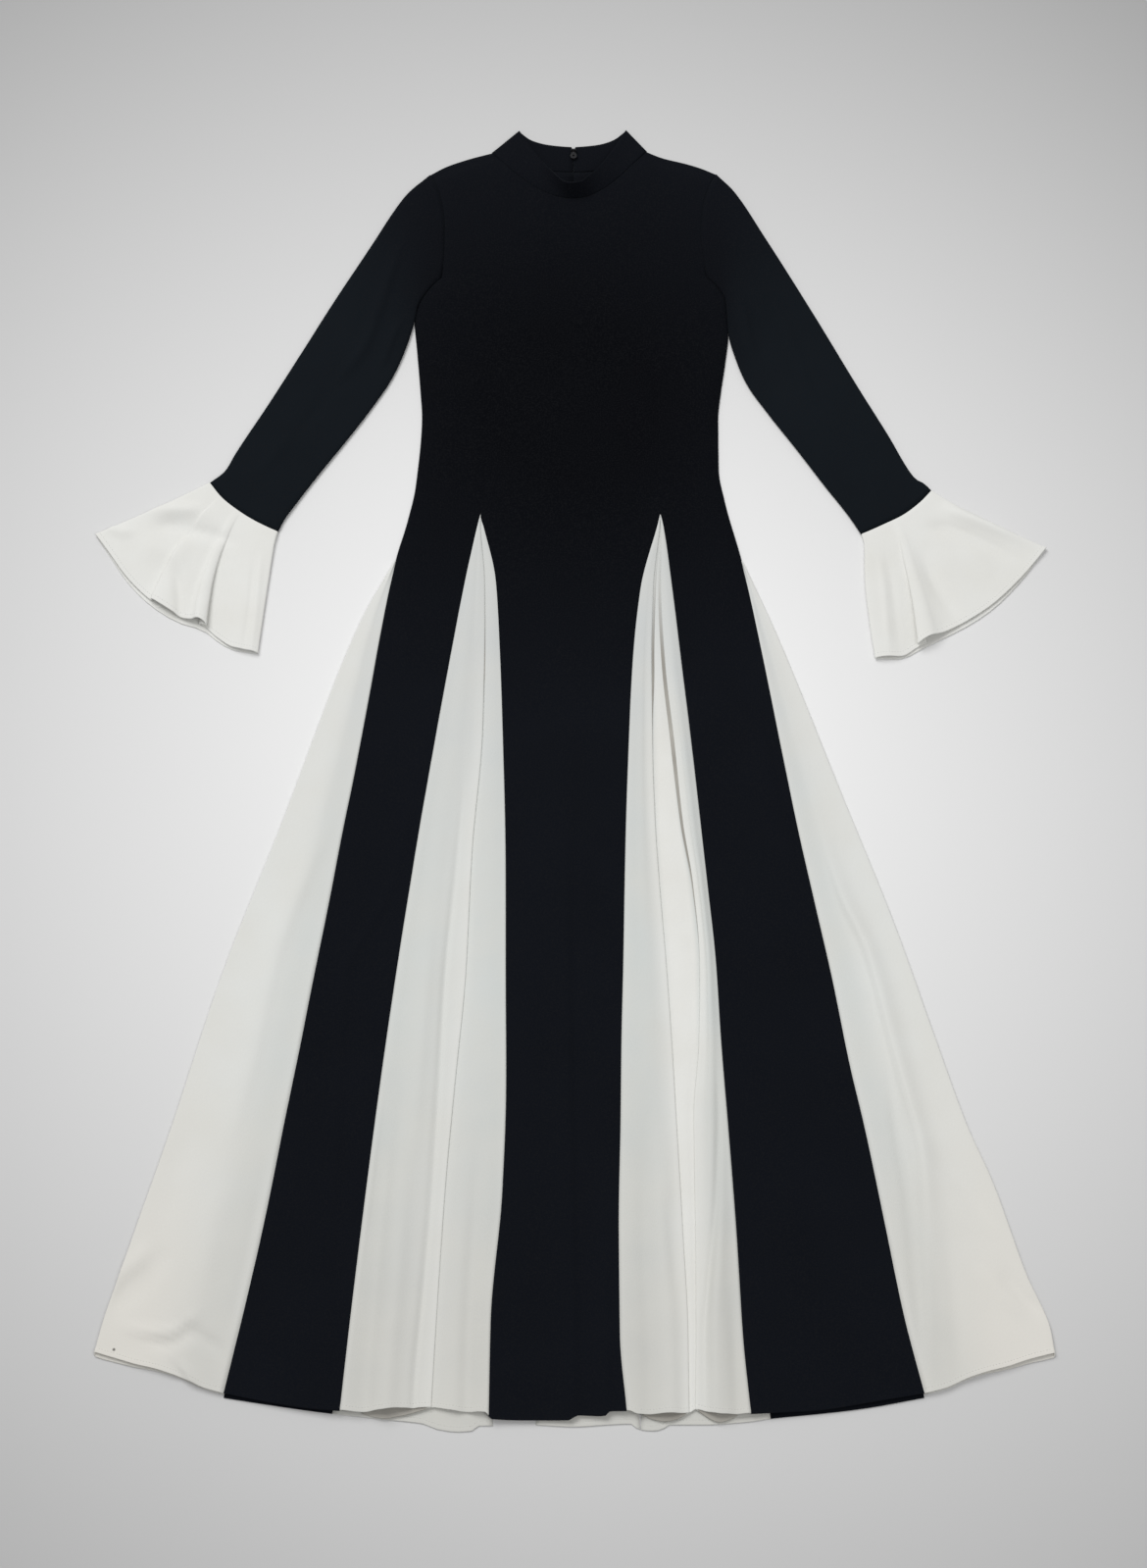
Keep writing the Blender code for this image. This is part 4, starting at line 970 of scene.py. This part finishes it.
def make_front_godets():
    """The two white front godets, folded across and let into the front from tip to hem."""
    rows = skirt_rows(GODET_TIP_Y, FRONT_CELL)
    for name, table, section, creases, columns, folds in (
        # the last: columns of a fold and its tuck, and the way that the tuck goes
        ("godet_front_left", LEFT_GODET, left_godet_section, LEFT_GODET_CREASES, 130, ((4, 5, -1),)),
        ("godet_front_right", RIGHT_GODET, right_godet_section, RIGHT_GODET_CREASES, 150,
         ((3, 5, -1), (4, 6, 1))),
    ):
        sections = [spread(soften(section(row)), columns) for row in rows]
        grid = skirt(rows, sections, front_hem)
        x = grid[..., 0]
        seams = slit(table, 1, rows)[:, None], slit(table, 2, rows)[:, None]
        low = LYING_Z + UNDER_RISE
        lobe = smooth(table, np.minimum(grid[..., 1], GODET_TIP_Y), 0, len(table[0]) - 1)
        inside = ease(0, 9, x - seams[0]) * ease(0, 9, seams[1] - x)
        upper = fade(low, 0.5 * (low + lobe), grid[..., 2])
        raised = np.where(inside > 0, inside * upper, 0) * crease_height(creases, x, grid[..., 1])
        hanging = 0
        for fold_column, tuck_column, way in folds:
            y = row_y(rows, table[0][0])
            fold = smooth(table, y, 0, fold_column)[:, None]
            tuck = np.maximum(1, smooth(table, y, 0, tuck_column))[:, None]
            share = np.clip(way * (x - fold) / tuck, 0, 1)
            hanging = hanging + 4 * share * (1 - share) * (grid[..., 2] < low + FOLD_CLOSED + 0.3)
        grid[..., 1] -= UNDER_DROP * hanging * ease(HEM_REACH, 0, grid[..., 4])
        dip = seam_groove(x - seams[0]) + seam_groove(seams[1] - x)
        grid[..., 3] *= ease(GODET_TIP_Y, LAYERS_FULL_Y, grid[..., 1])
        uneven(grid)
        grid[..., 2] += raised - dip * ease(GODET_TIP_Y, TIP_START_Y, grid[..., 1])
        draw_up(grid)
        cloth(name, [grid], white)


def make_side_godets():
    """The two white side godets, each folded over the side edge and let in between front and back."""
    sides = (
        ("godet_side_left", LEFT_SIDE, LEFT_OUTER, LEFT_SIDE_HEM, -1, 0.153),
        ("godet_side_right", RIGHT_SIDE, RIGHT_OUTER, RIGHT_SIDE_HEM, 1, 0.143),
    )
    rows = skirt_rows(SIDE_TIP_Y - 1, FRONT_CELL)
    rows = rows[rows < SIDE_TIP_Y]
    for name, side, outer_table, hem_table, way, area in sides:
        sections = []
        for row in rows:
            y = row_y(row, outer_table[0][0])
            outer = smooth(outer_table, y)
            seam = side_x(side, row)
            place, ridge, edge = (smooth(SIDE_RIDGE, y, 0, column) for column in (1, 2, 3))
            corners = [
                *between(
                    seam, outer, (0, side_z(row), 0.45), (0.08, side_z(row) + 0.1, 0.2),
                    (place - 0.14, ridge - 0.6, 0.2), (place, ridge, 0.5),
                    (place + 0.18, 0.5 * (ridge + edge), 0.65), (0.85, edge, 0.7),
                ),
                (outer - way * 1.5, edge, 0.7),
                (outer, edge - 0.3, 0.6),
                (outer, BACK_Z + 0.3, 0.6),
                (outer - way * 1.5, BACK_Z, 0.6),
                *between(seam, outer, *((share, BACK_Z, 0.5) for share in (0.8, 0.5, 0.2, 0))),
            ]
            sections.append(spread(soften(corners, 3), SIDE_COLUMNS))

        def hem(x, z):
            corner = INNER_DROP + (1 - INNER_DROP) * fade(*CORNER_REACH, np.abs(x))
            return smooth(hem_table, x) - LOWER_HEM_DROP * corner * fade(FRONT_Z, BACK_Z, z)

        grid = skirt(rows, sections, hem)
        x = grid[..., 0]
        seam = side_x(side, rows)[:, None]
        upper = ease(BACK_Z + 1, LYING_Z + 1, grid[..., 2])
        raised = ease(0, 12, np.abs(x - seam)) * upper * crease_height(SIDE_CREASES, x, grid[..., 1])
        dip = upper * seam_groove(np.abs(x - seam))
        uneven(grid)
        lowest = np.minimum(grid[..., 2], LYING_Z)
        grid[..., 2] = np.maximum(grid[..., 2] + raised - dip, lowest)
        cloth(name, [grid], white)


def tube_points(top, bottom, outer, inner, down, place):
    """Points in the plan of a flat tube between its end seams and its outer and inner edges."""
    down = down[:, None, None]
    start = along(top, place)[None]
    end = along(bottom, place)[None]
    a = along(outer, down[:, 0, 0])[:, None]
    b = along(inner, down[:, 0, 0])[:, None]
    mix = place[None, :, None]
    corners = [along(line, np.array([share]))[0] for line in (top, bottom) for share in (0.0, 1.0)]
    first = (1 - mix) * corners[0] + mix * corners[1]
    last = (1 - mix) * corners[2] + mix * corners[3]
    return (1 - down) * start + down * end + (1 - mix) * a + mix * b - (1 - down) * first - down * last


def tube_z(places, level, reach):
    """Heights round one layer of a flat tube, which rounds to the middle at the side edges."""
    away = np.minimum(places, 1 - places) * TUBE_WIDTH
    return MIDDLE_Z + (level - MIDDLE_Z) * np.sqrt(np.clip(1 - (1 - fade(0, reach, away)) ** 2, 0, 1))


def cosine_places(count):
    """Places from 0 to 1, closer together at both ends."""
    return (1 - np.cos(math.pi * np.linspace(0, 1, count))) / 2


def tube_places(columns):
    """Places round the upper layer of a flat tube, and back along its lower layer."""
    return cosine_places(columns[0]), cosine_places(columns[1])[::-1][1:]


def make_sleeve(side, armhole, outer, inner, cuff_seam):
    """A sleeve set into its armhole, a flat tube down to the cuff seam."""
    down = steps(0, 1, SLEEVE_CELL)
    upper, lower = tube_places(SLEEVE_COLUMNS)
    places = np.concatenate([upper, lower])
    plan = tube_points(armhole, cuff_seam, outer, inner, down, places)
    z = np.concatenate([tube_z(upper, FRONT_Z, UPPER_ROUND), tube_z(lower, BACK_Z, LOWER_ROUND)])
    z = np.broadcast_to(z, plan.shape[:2]).copy()
    on_top = np.where(np.arange(len(places)) < len(upper), 1.0, 0.0)[None]
    armhole_ends = ease(ARMHOLE_END, 0, places) + ease(1 - ARMHOLE_END, 1, places)
    near_top = ease(0.06, 0, down)[:, None]
    z -= on_top * near_top * armhole_ends[None] * (FRONT_Z - MIDDLE_Z) * ARMHOLE_PRESS
    length = np.linalg.norm(np.array(outer[-1]) - np.array(outer[0]))
    along_down = down[:, None] * length
    z -= on_top * (seam_groove(along_down) + seam_groove(length - along_down))
    # Painted sheen: through its layers attribute the sleeve's black grows lighter from the armhole down.
    painted_sheen = np.broadcast_to(ease(0.0, PAINTED_SHEEN_REACH, down)[:, None], z.shape)
    grid = np.stack([plan[..., 0], plan[..., 1], z, painted_sheen, np.full_like(z, UNDERARM_Y)], axis=-1)
    x, y = grid[..., 0].copy(), grid[..., 1].copy()
    uneven(grid)
    free = ease(0.0, 0.1, down)[:, None] * ease(1.0, 0.95, down)[:, None]
    free = free * on_top * (ease(0.02, 0.14, places) * ease(0.98, 0.86, places))[None]
    grid[..., 2] += free * crease_height(SLEEVE_CREASES, x, y)
    cloth("sleeve_" + side, [grid], black, hem=False)


def flute_section(down, flutes):
    """Places across a cuff's upper layer and their heights at a share of its length."""
    late = ease(TUCK_START, 1, down)
    upper = []
    for seam_place, hem_place, tuck, height in flutes:
        place = seam_place + (hem_place - seam_place) * down - tuck * late
        upper.append((place, FRONT_Z + (height - FRONT_Z) * down))
    corners = [(0.0, MIDDLE_Z), (0.0, FRONT_Z), *upper, (1.0, FRONT_Z), (1.0, MIDDLE_Z)]
    return spread(soften(corners, 3), CUFF_COLUMNS[0])


def make_cuff(side, outer, inner, cuff_seam, hem, flutes, area):
    """A bell cuff, a flat tube whose upper layer is folded into flutes that open to the hem."""
    length = np.linalg.norm(np.array(outer[-1]) - np.array(outer[0]))
    near_hem = 1 - np.array(HEM_ROWS) / length
    down = np.unique(np.concatenate([[0, 0.006, 0.014, 0.03], steps(0.05, 0.88, 0.03), near_hem]))
    columns = CUFF_COLUMNS[0]
    lower = tube_places(CUFF_COLUMNS)[1]
    rows = []
    for share in down:
        section = flute_section(share, flutes)
        places = np.concatenate([section[:, 0], lower])
        plan = tube_points(cuff_seam, hem, outer, inner, np.array([share]), places)[0]
        plan[columns:, 1] -= CUFF_DROP * share ** 3 * 4 * lower * (1 - lower)
        z = np.concatenate([section[:, 1], tube_z(lower, BACK_Z, LOWER_ROUND)])
        inside = ease(0, 0.08, section[:, 0]) * ease(1, 0.92, section[:, 0])
        z[:columns] -= seam_groove(share * length) * inside
        layers = np.full(len(z), CUFF_LAYERS)
        from_hem = np.full(len(z), (1 - share) * length)
        rows.append(np.column_stack([plan, z, layers, from_hem]))
    grid = np.array(rows)
    x, y = grid[..., 0].copy(), grid[..., 1].copy()
    uneven(grid)
    free = ease(0.1, 0.3, down)[:, None] * (np.arange(grid.shape[1]) < columns)[None]
    free = free * fade(LYING_Z + 0.8, FRONT_Z, grid[..., 2])
    lowest = np.minimum(grid[..., 2], LYING_Z)
    grid[..., 2] = np.maximum(grid[..., 2] + free * crease_height(CUFF_CREASES, x, y), lowest)
    draw_up(grid)
    cloth("cuff_" + side, [grid], white)


def make_sleeves_and_cuffs():
    """Sleeves set into the armholes, and the cuffs that flare from their ends."""
    make_sleeve("left", LEFT_ARMHOLE, LEFT_SLEEVE_OUTER, LEFT_SLEEVE_INNER, LEFT_CUFF_SEAM)
    make_sleeve("right", RIGHT_ARMHOLE, RIGHT_SLEEVE_OUTER, RIGHT_SLEEVE_INNER, RIGHT_CUFF_SEAM)
    left = (LEFT_CUFF_OUTER, LEFT_CUFF_INNER, LEFT_CUFF_SEAM, LEFT_CUFF_HEM, LEFT_FLUTES)
    right = (RIGHT_CUFF_OUTER, RIGHT_CUFF_INNER, RIGHT_CUFF_SEAM, RIGHT_CUFF_HEM, RIGHT_FLUTES)
    make_cuff("left", *left, 0.051)
    make_cuff("right", *right, 0.052)


def make_collar():
    """Stand collar, open at the centre back, its back on the surface and its front standing up."""
    back_z = COLLAR_CLOTH / 2

    def back_side(shares):
        low = along(BACK_NECK, shares)
        top = np.stack([smooth(COLLAR_BACK, shares, 0, column) for column in (1, 2)], axis=-1)
        z = np.full((len(shares), 1), back_z)
        return np.hstack([low, z]), np.hstack([top, z])

    def front_side(shares):
        low = along(FRONT_NECK, shares)
        top = np.stack([smooth(COLLAR_FRONT, shares, 0, column) for column in (1, 2, 3)], axis=-1)
        near_end = np.minimum(shares, 1 - shares)
        z = CLOSED_Z + 1.0 + (FRONT_Z - CLOSED_Z - 1.3) * ease(0, NECK_EASE, near_end)
        return np.column_stack([low, z]), top

    def side_fold(share, way):
        low, top = front_side(np.array([share]))
        low = low + [[way, 1.0, (back_z - FRONT_Z) / 2]]
        return low, np.column_stack([top[:, 0], top[:, 1] + 0.6, [COLLAR_FOLD_Z]])

    half = np.linspace(0.5, 0.0, COLLAR_COLUMNS[0])
    front = np.linspace(0, 1, COLLAR_COLUMNS[1])
    parts = (
        back_side(half), side_fold(0.0, -1.0), front_side(front), side_fold(1.0, 1.0),
        back_side(1 - half[::-1]),
    )
    low, top = (np.concatenate(rows) for rows in zip(*parts))
    rise = np.linspace(0, 1, COLLAR_ROWS)[:, None, None]
    grid = low[None] + (top - low)[None] * rise
    for end, way in ((0, -1), (-1, 1)):
        grid[:, end, 0] = way * (COLLAR_GAP + COLLAR_NOTCH * rise[:, 0, 0] ** 9)
    cloth(
        "collar", [far_from_hem(grid)], black, hem=False,
        wall=COLLAR_CLOTH,
    )


def new_material(name, colour, roughness, **values):
    """A material, its node tree and its shader, the plain values set on the shader's own sockets."""
    material = bpy.data.materials.new(name)
    material.use_nodes = True
    shader = material.node_tree.nodes["Principled BSDF"]
    shader.inputs["Base Color"].default_value = (*colour, 1)
    shader.inputs["Roughness"].default_value = roughness
    for label, value in values.items():
        shader.inputs[label.replace("_", " ")].default_value = value
    return material, material.node_tree, shader


def add(tree, kind, inputs, operation=None):
    """First output of a new node, each of whose inputs is a plain value or another node's output."""
    node = tree.nodes.new("ShaderNode" + kind)
    if operation:
        node.operation = operation
    for label, value in inputs.items():
        if isinstance(value, bpy.types.NodeSocket):
            tree.links.new(value, node.inputs[label])
        else:
            node.inputs[label].default_value = value
    return node.outputs[0]


def own_place(tree):
    """Output with the place in the piece's own coordinates."""
    return tree.nodes.new("ShaderNodeTexCoord").outputs["Object"]


def mix_colours(tree, share, first, second):
    """Output that mixes two colours by a share; each is a colour or another output."""
    mix = tree.nodes.new("ShaderNodeMix")
    mix.data_type = "RGBA"
    tree.links.new(share, mix.inputs[0])
    for socket, value in ((mix.inputs[6], first), (mix.inputs[7], second)):
        if isinstance(value, tuple):
            socket.default_value = (*value, 1)
        else:
            tree.links.new(value, socket)
    return mix.outputs[2]


def ranged(tree, value, low, high, to_low=0.0, to_high=1.0):
    """A value mapped from one range to another, held level outside it."""
    ends = {"From Min": low, "From Max": high, "To Min": to_low, "To Max": to_high}
    return add(tree, "MapRange", {"Value": value, **ends})


def noise(tree, place, scale, detail=3):
    """A noise output at a place."""
    return add(tree, "TexNoise", {"Vector": place, "Scale": scale, "Detail": detail})


def distance(tree, place, point):
    """Output with the distance of a place from a point, in metres."""
    node = tree.nodes.new("ShaderNodeVectorMath")
    node.operation = "DISTANCE"
    tree.links.new(place, node.inputs[0])
    node.inputs[1].default_value = point
    return node.outputs["Value"]


def layers_attribute(tree):
    """Output with the layers that each piece has as an attribute."""
    node = tree.nodes.new("ShaderNodeAttribute")
    node.attribute_name = "layers"
    return node.outputs["Fac"]


# Weave: how its threads are stretched, the scales of threads and pebble, and its depth in metres
THREAD_STRETCH = (1.0, 0.35, 1.0)
THREAD_SCALE = 1500
PEBBLE_SCALE = 420
BUMP_DEPTH = 0.0003


def weave_bump(tree, shader, strength):
    """Bump of a crepe weave, fine uneven threads and a soft pebble over them. Gives the place."""
    place = own_place(tree)
    stretched = add(tree, "Mapping", {"Vector": place, "Scale": THREAD_STRETCH})
    threads = noise(tree, stretched, THREAD_SCALE, 2)
    height = add(tree, "Math", {0: threads, 1: noise(tree, place, PEBBLE_SCALE)}, "ADD")
    bump = add(tree, "Bump", {"Height": height, "Strength": strength, "Distance": BUMP_DEPTH})
    tree.links.new(bump, shader.inputs["Normal"])
    return place


# Black of the dress where its painted shade is darkest and far from it, of the sleeves with painted
# sheen, of uneven dye and of the grain's light specks, and where the painted shade is darkest, in metres
PAINTED_SHADE_BLACK = (0.0006, 0.0009, 0.0021)
BODY_BLACK = (0.0042, 0.0054, 0.0085)
SLEEVE_SHEEN_BLACK = (0.0058, 0.0086, 0.0118)
DYE_BLACK = (0.0020, 0.0025, 0.0040)
SPECK_BLACK = (0.0085, 0.0090, 0.0105)
PAINTED_SHADE_CENTRE = (0.0, 0.4, 0.0)


def black_crepe():
    """Matt black crepe: slightly blue, dry sheen, uneven dye; painted shade on the chest, painted sheen on
    sleeves.
    """
    material, tree, shader = new_material(
        "black_crepe", BODY_BLACK, 0.85, Specular_IOR_Level=0.06, Sheen_Weight=0.02,
        Sheen_Roughness=0.45, Sheen_Tint=(0.75, 0.85, 1.0, 1),
    )
    place = weave_bump(tree, shader, 0.5)
    # Painted shade: the body's black is darkest round a point on the chest and lighter away from it.
    away = ranged(tree, distance(tree, place, PAINTED_SHADE_CENTRE), 0.1, 0.4)
    body = mix_colours(tree, away, PAINTED_SHADE_BLACK, BODY_BLACK)
    # Painted sheen: the sleeves' layers attribute lightens their black.
    black_with_painted_light = mix_colours(tree, layers_attribute(tree), body, SLEEVE_SHEEN_BLACK)
    black_with_painted_light = mix_colours(tree, ranged(tree, noise(tree, place, 9), 0.3, 0.7, 0.0, 0.25), black_with_painted_light, DYE_BLACK)
    grain = ranged(tree, noise(tree, place, 650, 2), 0.45, 0.7, 0.0, 0.45)
    tree.links.new(mix_colours(tree, grain, black_with_painted_light, SPECK_BLACK), shader.inputs["Base Color"])
    return material


# White over the black back from the hem up and over other white at the hem and above it, lighter or
# darker with height as painted light; white darkened as painted shade inside a fold; white of the side
# godets' lower outer parts and of the mottle, and a small stain
OVER_BLACK_LOW = (0.585, 0.585, 0.555)
OVER_BLACK_MIDDLE = (0.625, 0.650, 0.634)
OVER_BLACK_TOP = (0.60, 0.618, 0.612)
OVER_WHITE_LOW = (0.76, 0.76, 0.73)
OVER_WHITE_TOP = (0.80, 0.80, 0.77)
PAINTED_FOLD_SHADE = (0.31, 0.295, 0.265)
WARM_WHITE = (0.795, 0.765, 0.708)
MOTTLE_WHITE = (0.70, 0.685, 0.63)
STAIN_COLOUR = (0.06, 0.055, 0.05)
STAIN = (-0.4665, -0.689, 0.0046)


def white_crepe():
    """Off-white crepe: greyer over the black back, warmer at the hems, faintly uneven; painted light by
    height, painted shade in folds.
    """
    material, tree, shader = new_material(
        "white_crepe", (0.75, 0.745, 0.72), 0.8, Specular_IOR_Level=0.2, Sheen_Weight=0.03,
        Sheen_Roughness=0.4,
    )
    place = weave_bump(tree, shader, 0.45)
    layers = layers_attribute(tree)
    split = tree.nodes.new("ShaderNodeSeparateXYZ")
    tree.links.new(place, split.inputs["Vector"])
    x, y = split.outputs["X"], split.outputs["Y"]
    # Painted light: the white grows lighter or darker with height on the dress.
    height = ranged(tree, y, -0.68, -0.33)
    over_black = mix_colours(tree, height, OVER_BLACK_LOW, OVER_BLACK_MIDDLE)
    over_black = mix_colours(tree, ranged(tree, y, -0.22, 0.10), over_black, OVER_BLACK_TOP)
    over_white = mix_colours(tree, height, OVER_WHITE_LOW, OVER_WHITE_TOP)
    outward = ranged(tree, add(tree, "Math", {0: x}, "ABSOLUTE"), 0.33, 0.43)
    warm = add(tree, "Math", {0: outward, 1: ranged(tree, y, -0.25, -0.68)}, "MULTIPLY")
    over_white = mix_colours(tree, warm, over_white, WARM_WHITE)
    colour = mix_colours(tree, layers, over_black, over_white)
    # Painted shade: where layers fall below zero, inside a fold, the white darkens to a dim grey.
    colour = mix_colours(tree, ranged(tree, layers, 0.0, -0.4), colour, PAINTED_FOLD_SHADE)
    mottle = ranged(tree, noise(tree, place, 14), 0.35, 0.75, 0.0, 0.35)
    colour = mix_colours(tree, mottle, colour, MOTTLE_WHITE)
    spot = ranged(tree, distance(tree, place, STAIN), 0.0008, 0.0020, 0.85, 0.0)
    tree.links.new(mix_colours(tree, spot, colour, STAIN_COLOUR), shader.inputs["Base Color"])
    return material


def dark_metal():
    """Dark satin metal of the zip, rubbed brighter in places."""
    material, tree, shader = new_material("zip_metal", (0.012, 0.012, 0.014), 0.5, Metallic=0.6)
    place = own_place(tree)
    rubbed = ranged(tree, noise(tree, place, 900), 0.4, 0.65)
    colour = mix_colours(tree, rubbed, (0.006, 0.006, 0.007), (0.014, 0.014, 0.016))
    tree.links.new(colour, shader.inputs["Base Color"])
    roughness = ranged(tree, noise(tree, place, 1600), 0.3, 0.7, 0.45, 0.65)
    tree.links.new(roughness, shader.inputs["Roughness"])
    return material


# Camera: 20 degrees off straight down, towards the hem, and 3 m from the point that it looks at
CAMERA_TILT = 20.0
CAMERA_DISTANCE = 3.0
CAMERA_LENS = 62.54
AIM = (0.0, 695.0)

# Floor with a painted pool of light: its size, its grey at the middle and far out, how far above the aim
# the middle is, and the distances where the painted light starts and ends to fall
FLOOR_SIZE = 14.0
FLOOR_BRIGHT = 0.90
FLOOR_DIM = 0.372
FLOOR_UP = 0.04
FLOOR_INNER = 0.20
FLOOR_OUTER = 1.30

# Light from all round, and the lights: name, place and size in metres, power in watts
SKY_STRENGTH = 0.36
LIGHTS = (
    ("key", (-2.4, 3.4, 5.2), 4.4, 270),
    ("fill", (1.1, -1.3, 3.0), 2.0, 26),
)


def aimed(name, data, place, target):
    """A lamp or camera at a place, turned towards a target."""
    thing = bpy.data.objects.new(name, data)
    thing.location = place
    thing.rotation_euler = (target - thing.location).to_track_quat("-Z", "Y").to_euler()
    bpy.context.scene.collection.objects.link(thing)
    return thing


def make_stage():
    """Floor, lights, world and camera."""
    bpy.ops.mesh.primitive_plane_add(size=FLOOR_SIZE)
    floor = bpy.context.object
    floor.name = "floor"
    material, tree, shader = new_material("floor", (0.8, 0.8, 0.8), 0.9, Specular_IOR_Level=0.1)
    aim_x = (AIM[0] - CENTRE_X) / 1000
    aim_y = (AIM[1] - CENTRE_Y) / 1000
    # Painted pool of light: the floor is lighter round the middle and greyer far out.
    away = distance(tree, own_place(tree), (aim_x, aim_y + FLOOR_UP, 0))
    shade = ranged(tree, away, FLOOR_INNER, FLOOR_OUTER, FLOOR_BRIGHT, FLOOR_DIM)
    grey = add(tree, "CombineColor", {"Red": shade, "Green": shade, "Blue": shade})
    tree.links.new(grey, shader.inputs["Base Color"])
    floor.data.materials.append(material)

    world = bpy.data.worlds.new("studio")
    world.use_nodes = True
    sky = world.node_tree.nodes["Background"]
    sky.inputs["Color"].default_value = (1.0, 1.0, 1.0, 1)
    sky.inputs["Strength"].default_value = SKY_STRENGTH
    bpy.context.scene.world = world

    target = Vector((aim_x, aim_y, 0))
    for name, place, size, power in LIGHTS:
        light = bpy.data.lights.new(name, "AREA")
        light.shape = "DISK"
        light.size = size
        light.energy = power
        aimed(name, light, place, target)

    tilt = math.radians(CAMERA_TILT)
    view = bpy.data.cameras.new("camera")
    view.lens = CAMERA_LENS
    place = target + CAMERA_DISTANCE * Vector((0, -math.sin(tilt), math.cos(tilt)))
    bpy.context.scene.camera = aimed("camera", view, place, target)
    bpy.context.scene.view_settings.view_transform = "Standard"


black = black_crepe()
white = white_crepe()
metal = dark_metal()
make_stage()
make_front()
make_back()
make_back_godets()
make_front_godets()
make_side_godets()
make_sleeves_and_cuffs()
make_collar()
for node in ("zip_slider", "zip_pull"):
    part = next(piece for piece in bpy.data.objects if piece.get("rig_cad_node") == node)
    part.data.materials.clear()
    part.data.materials.append(metal)
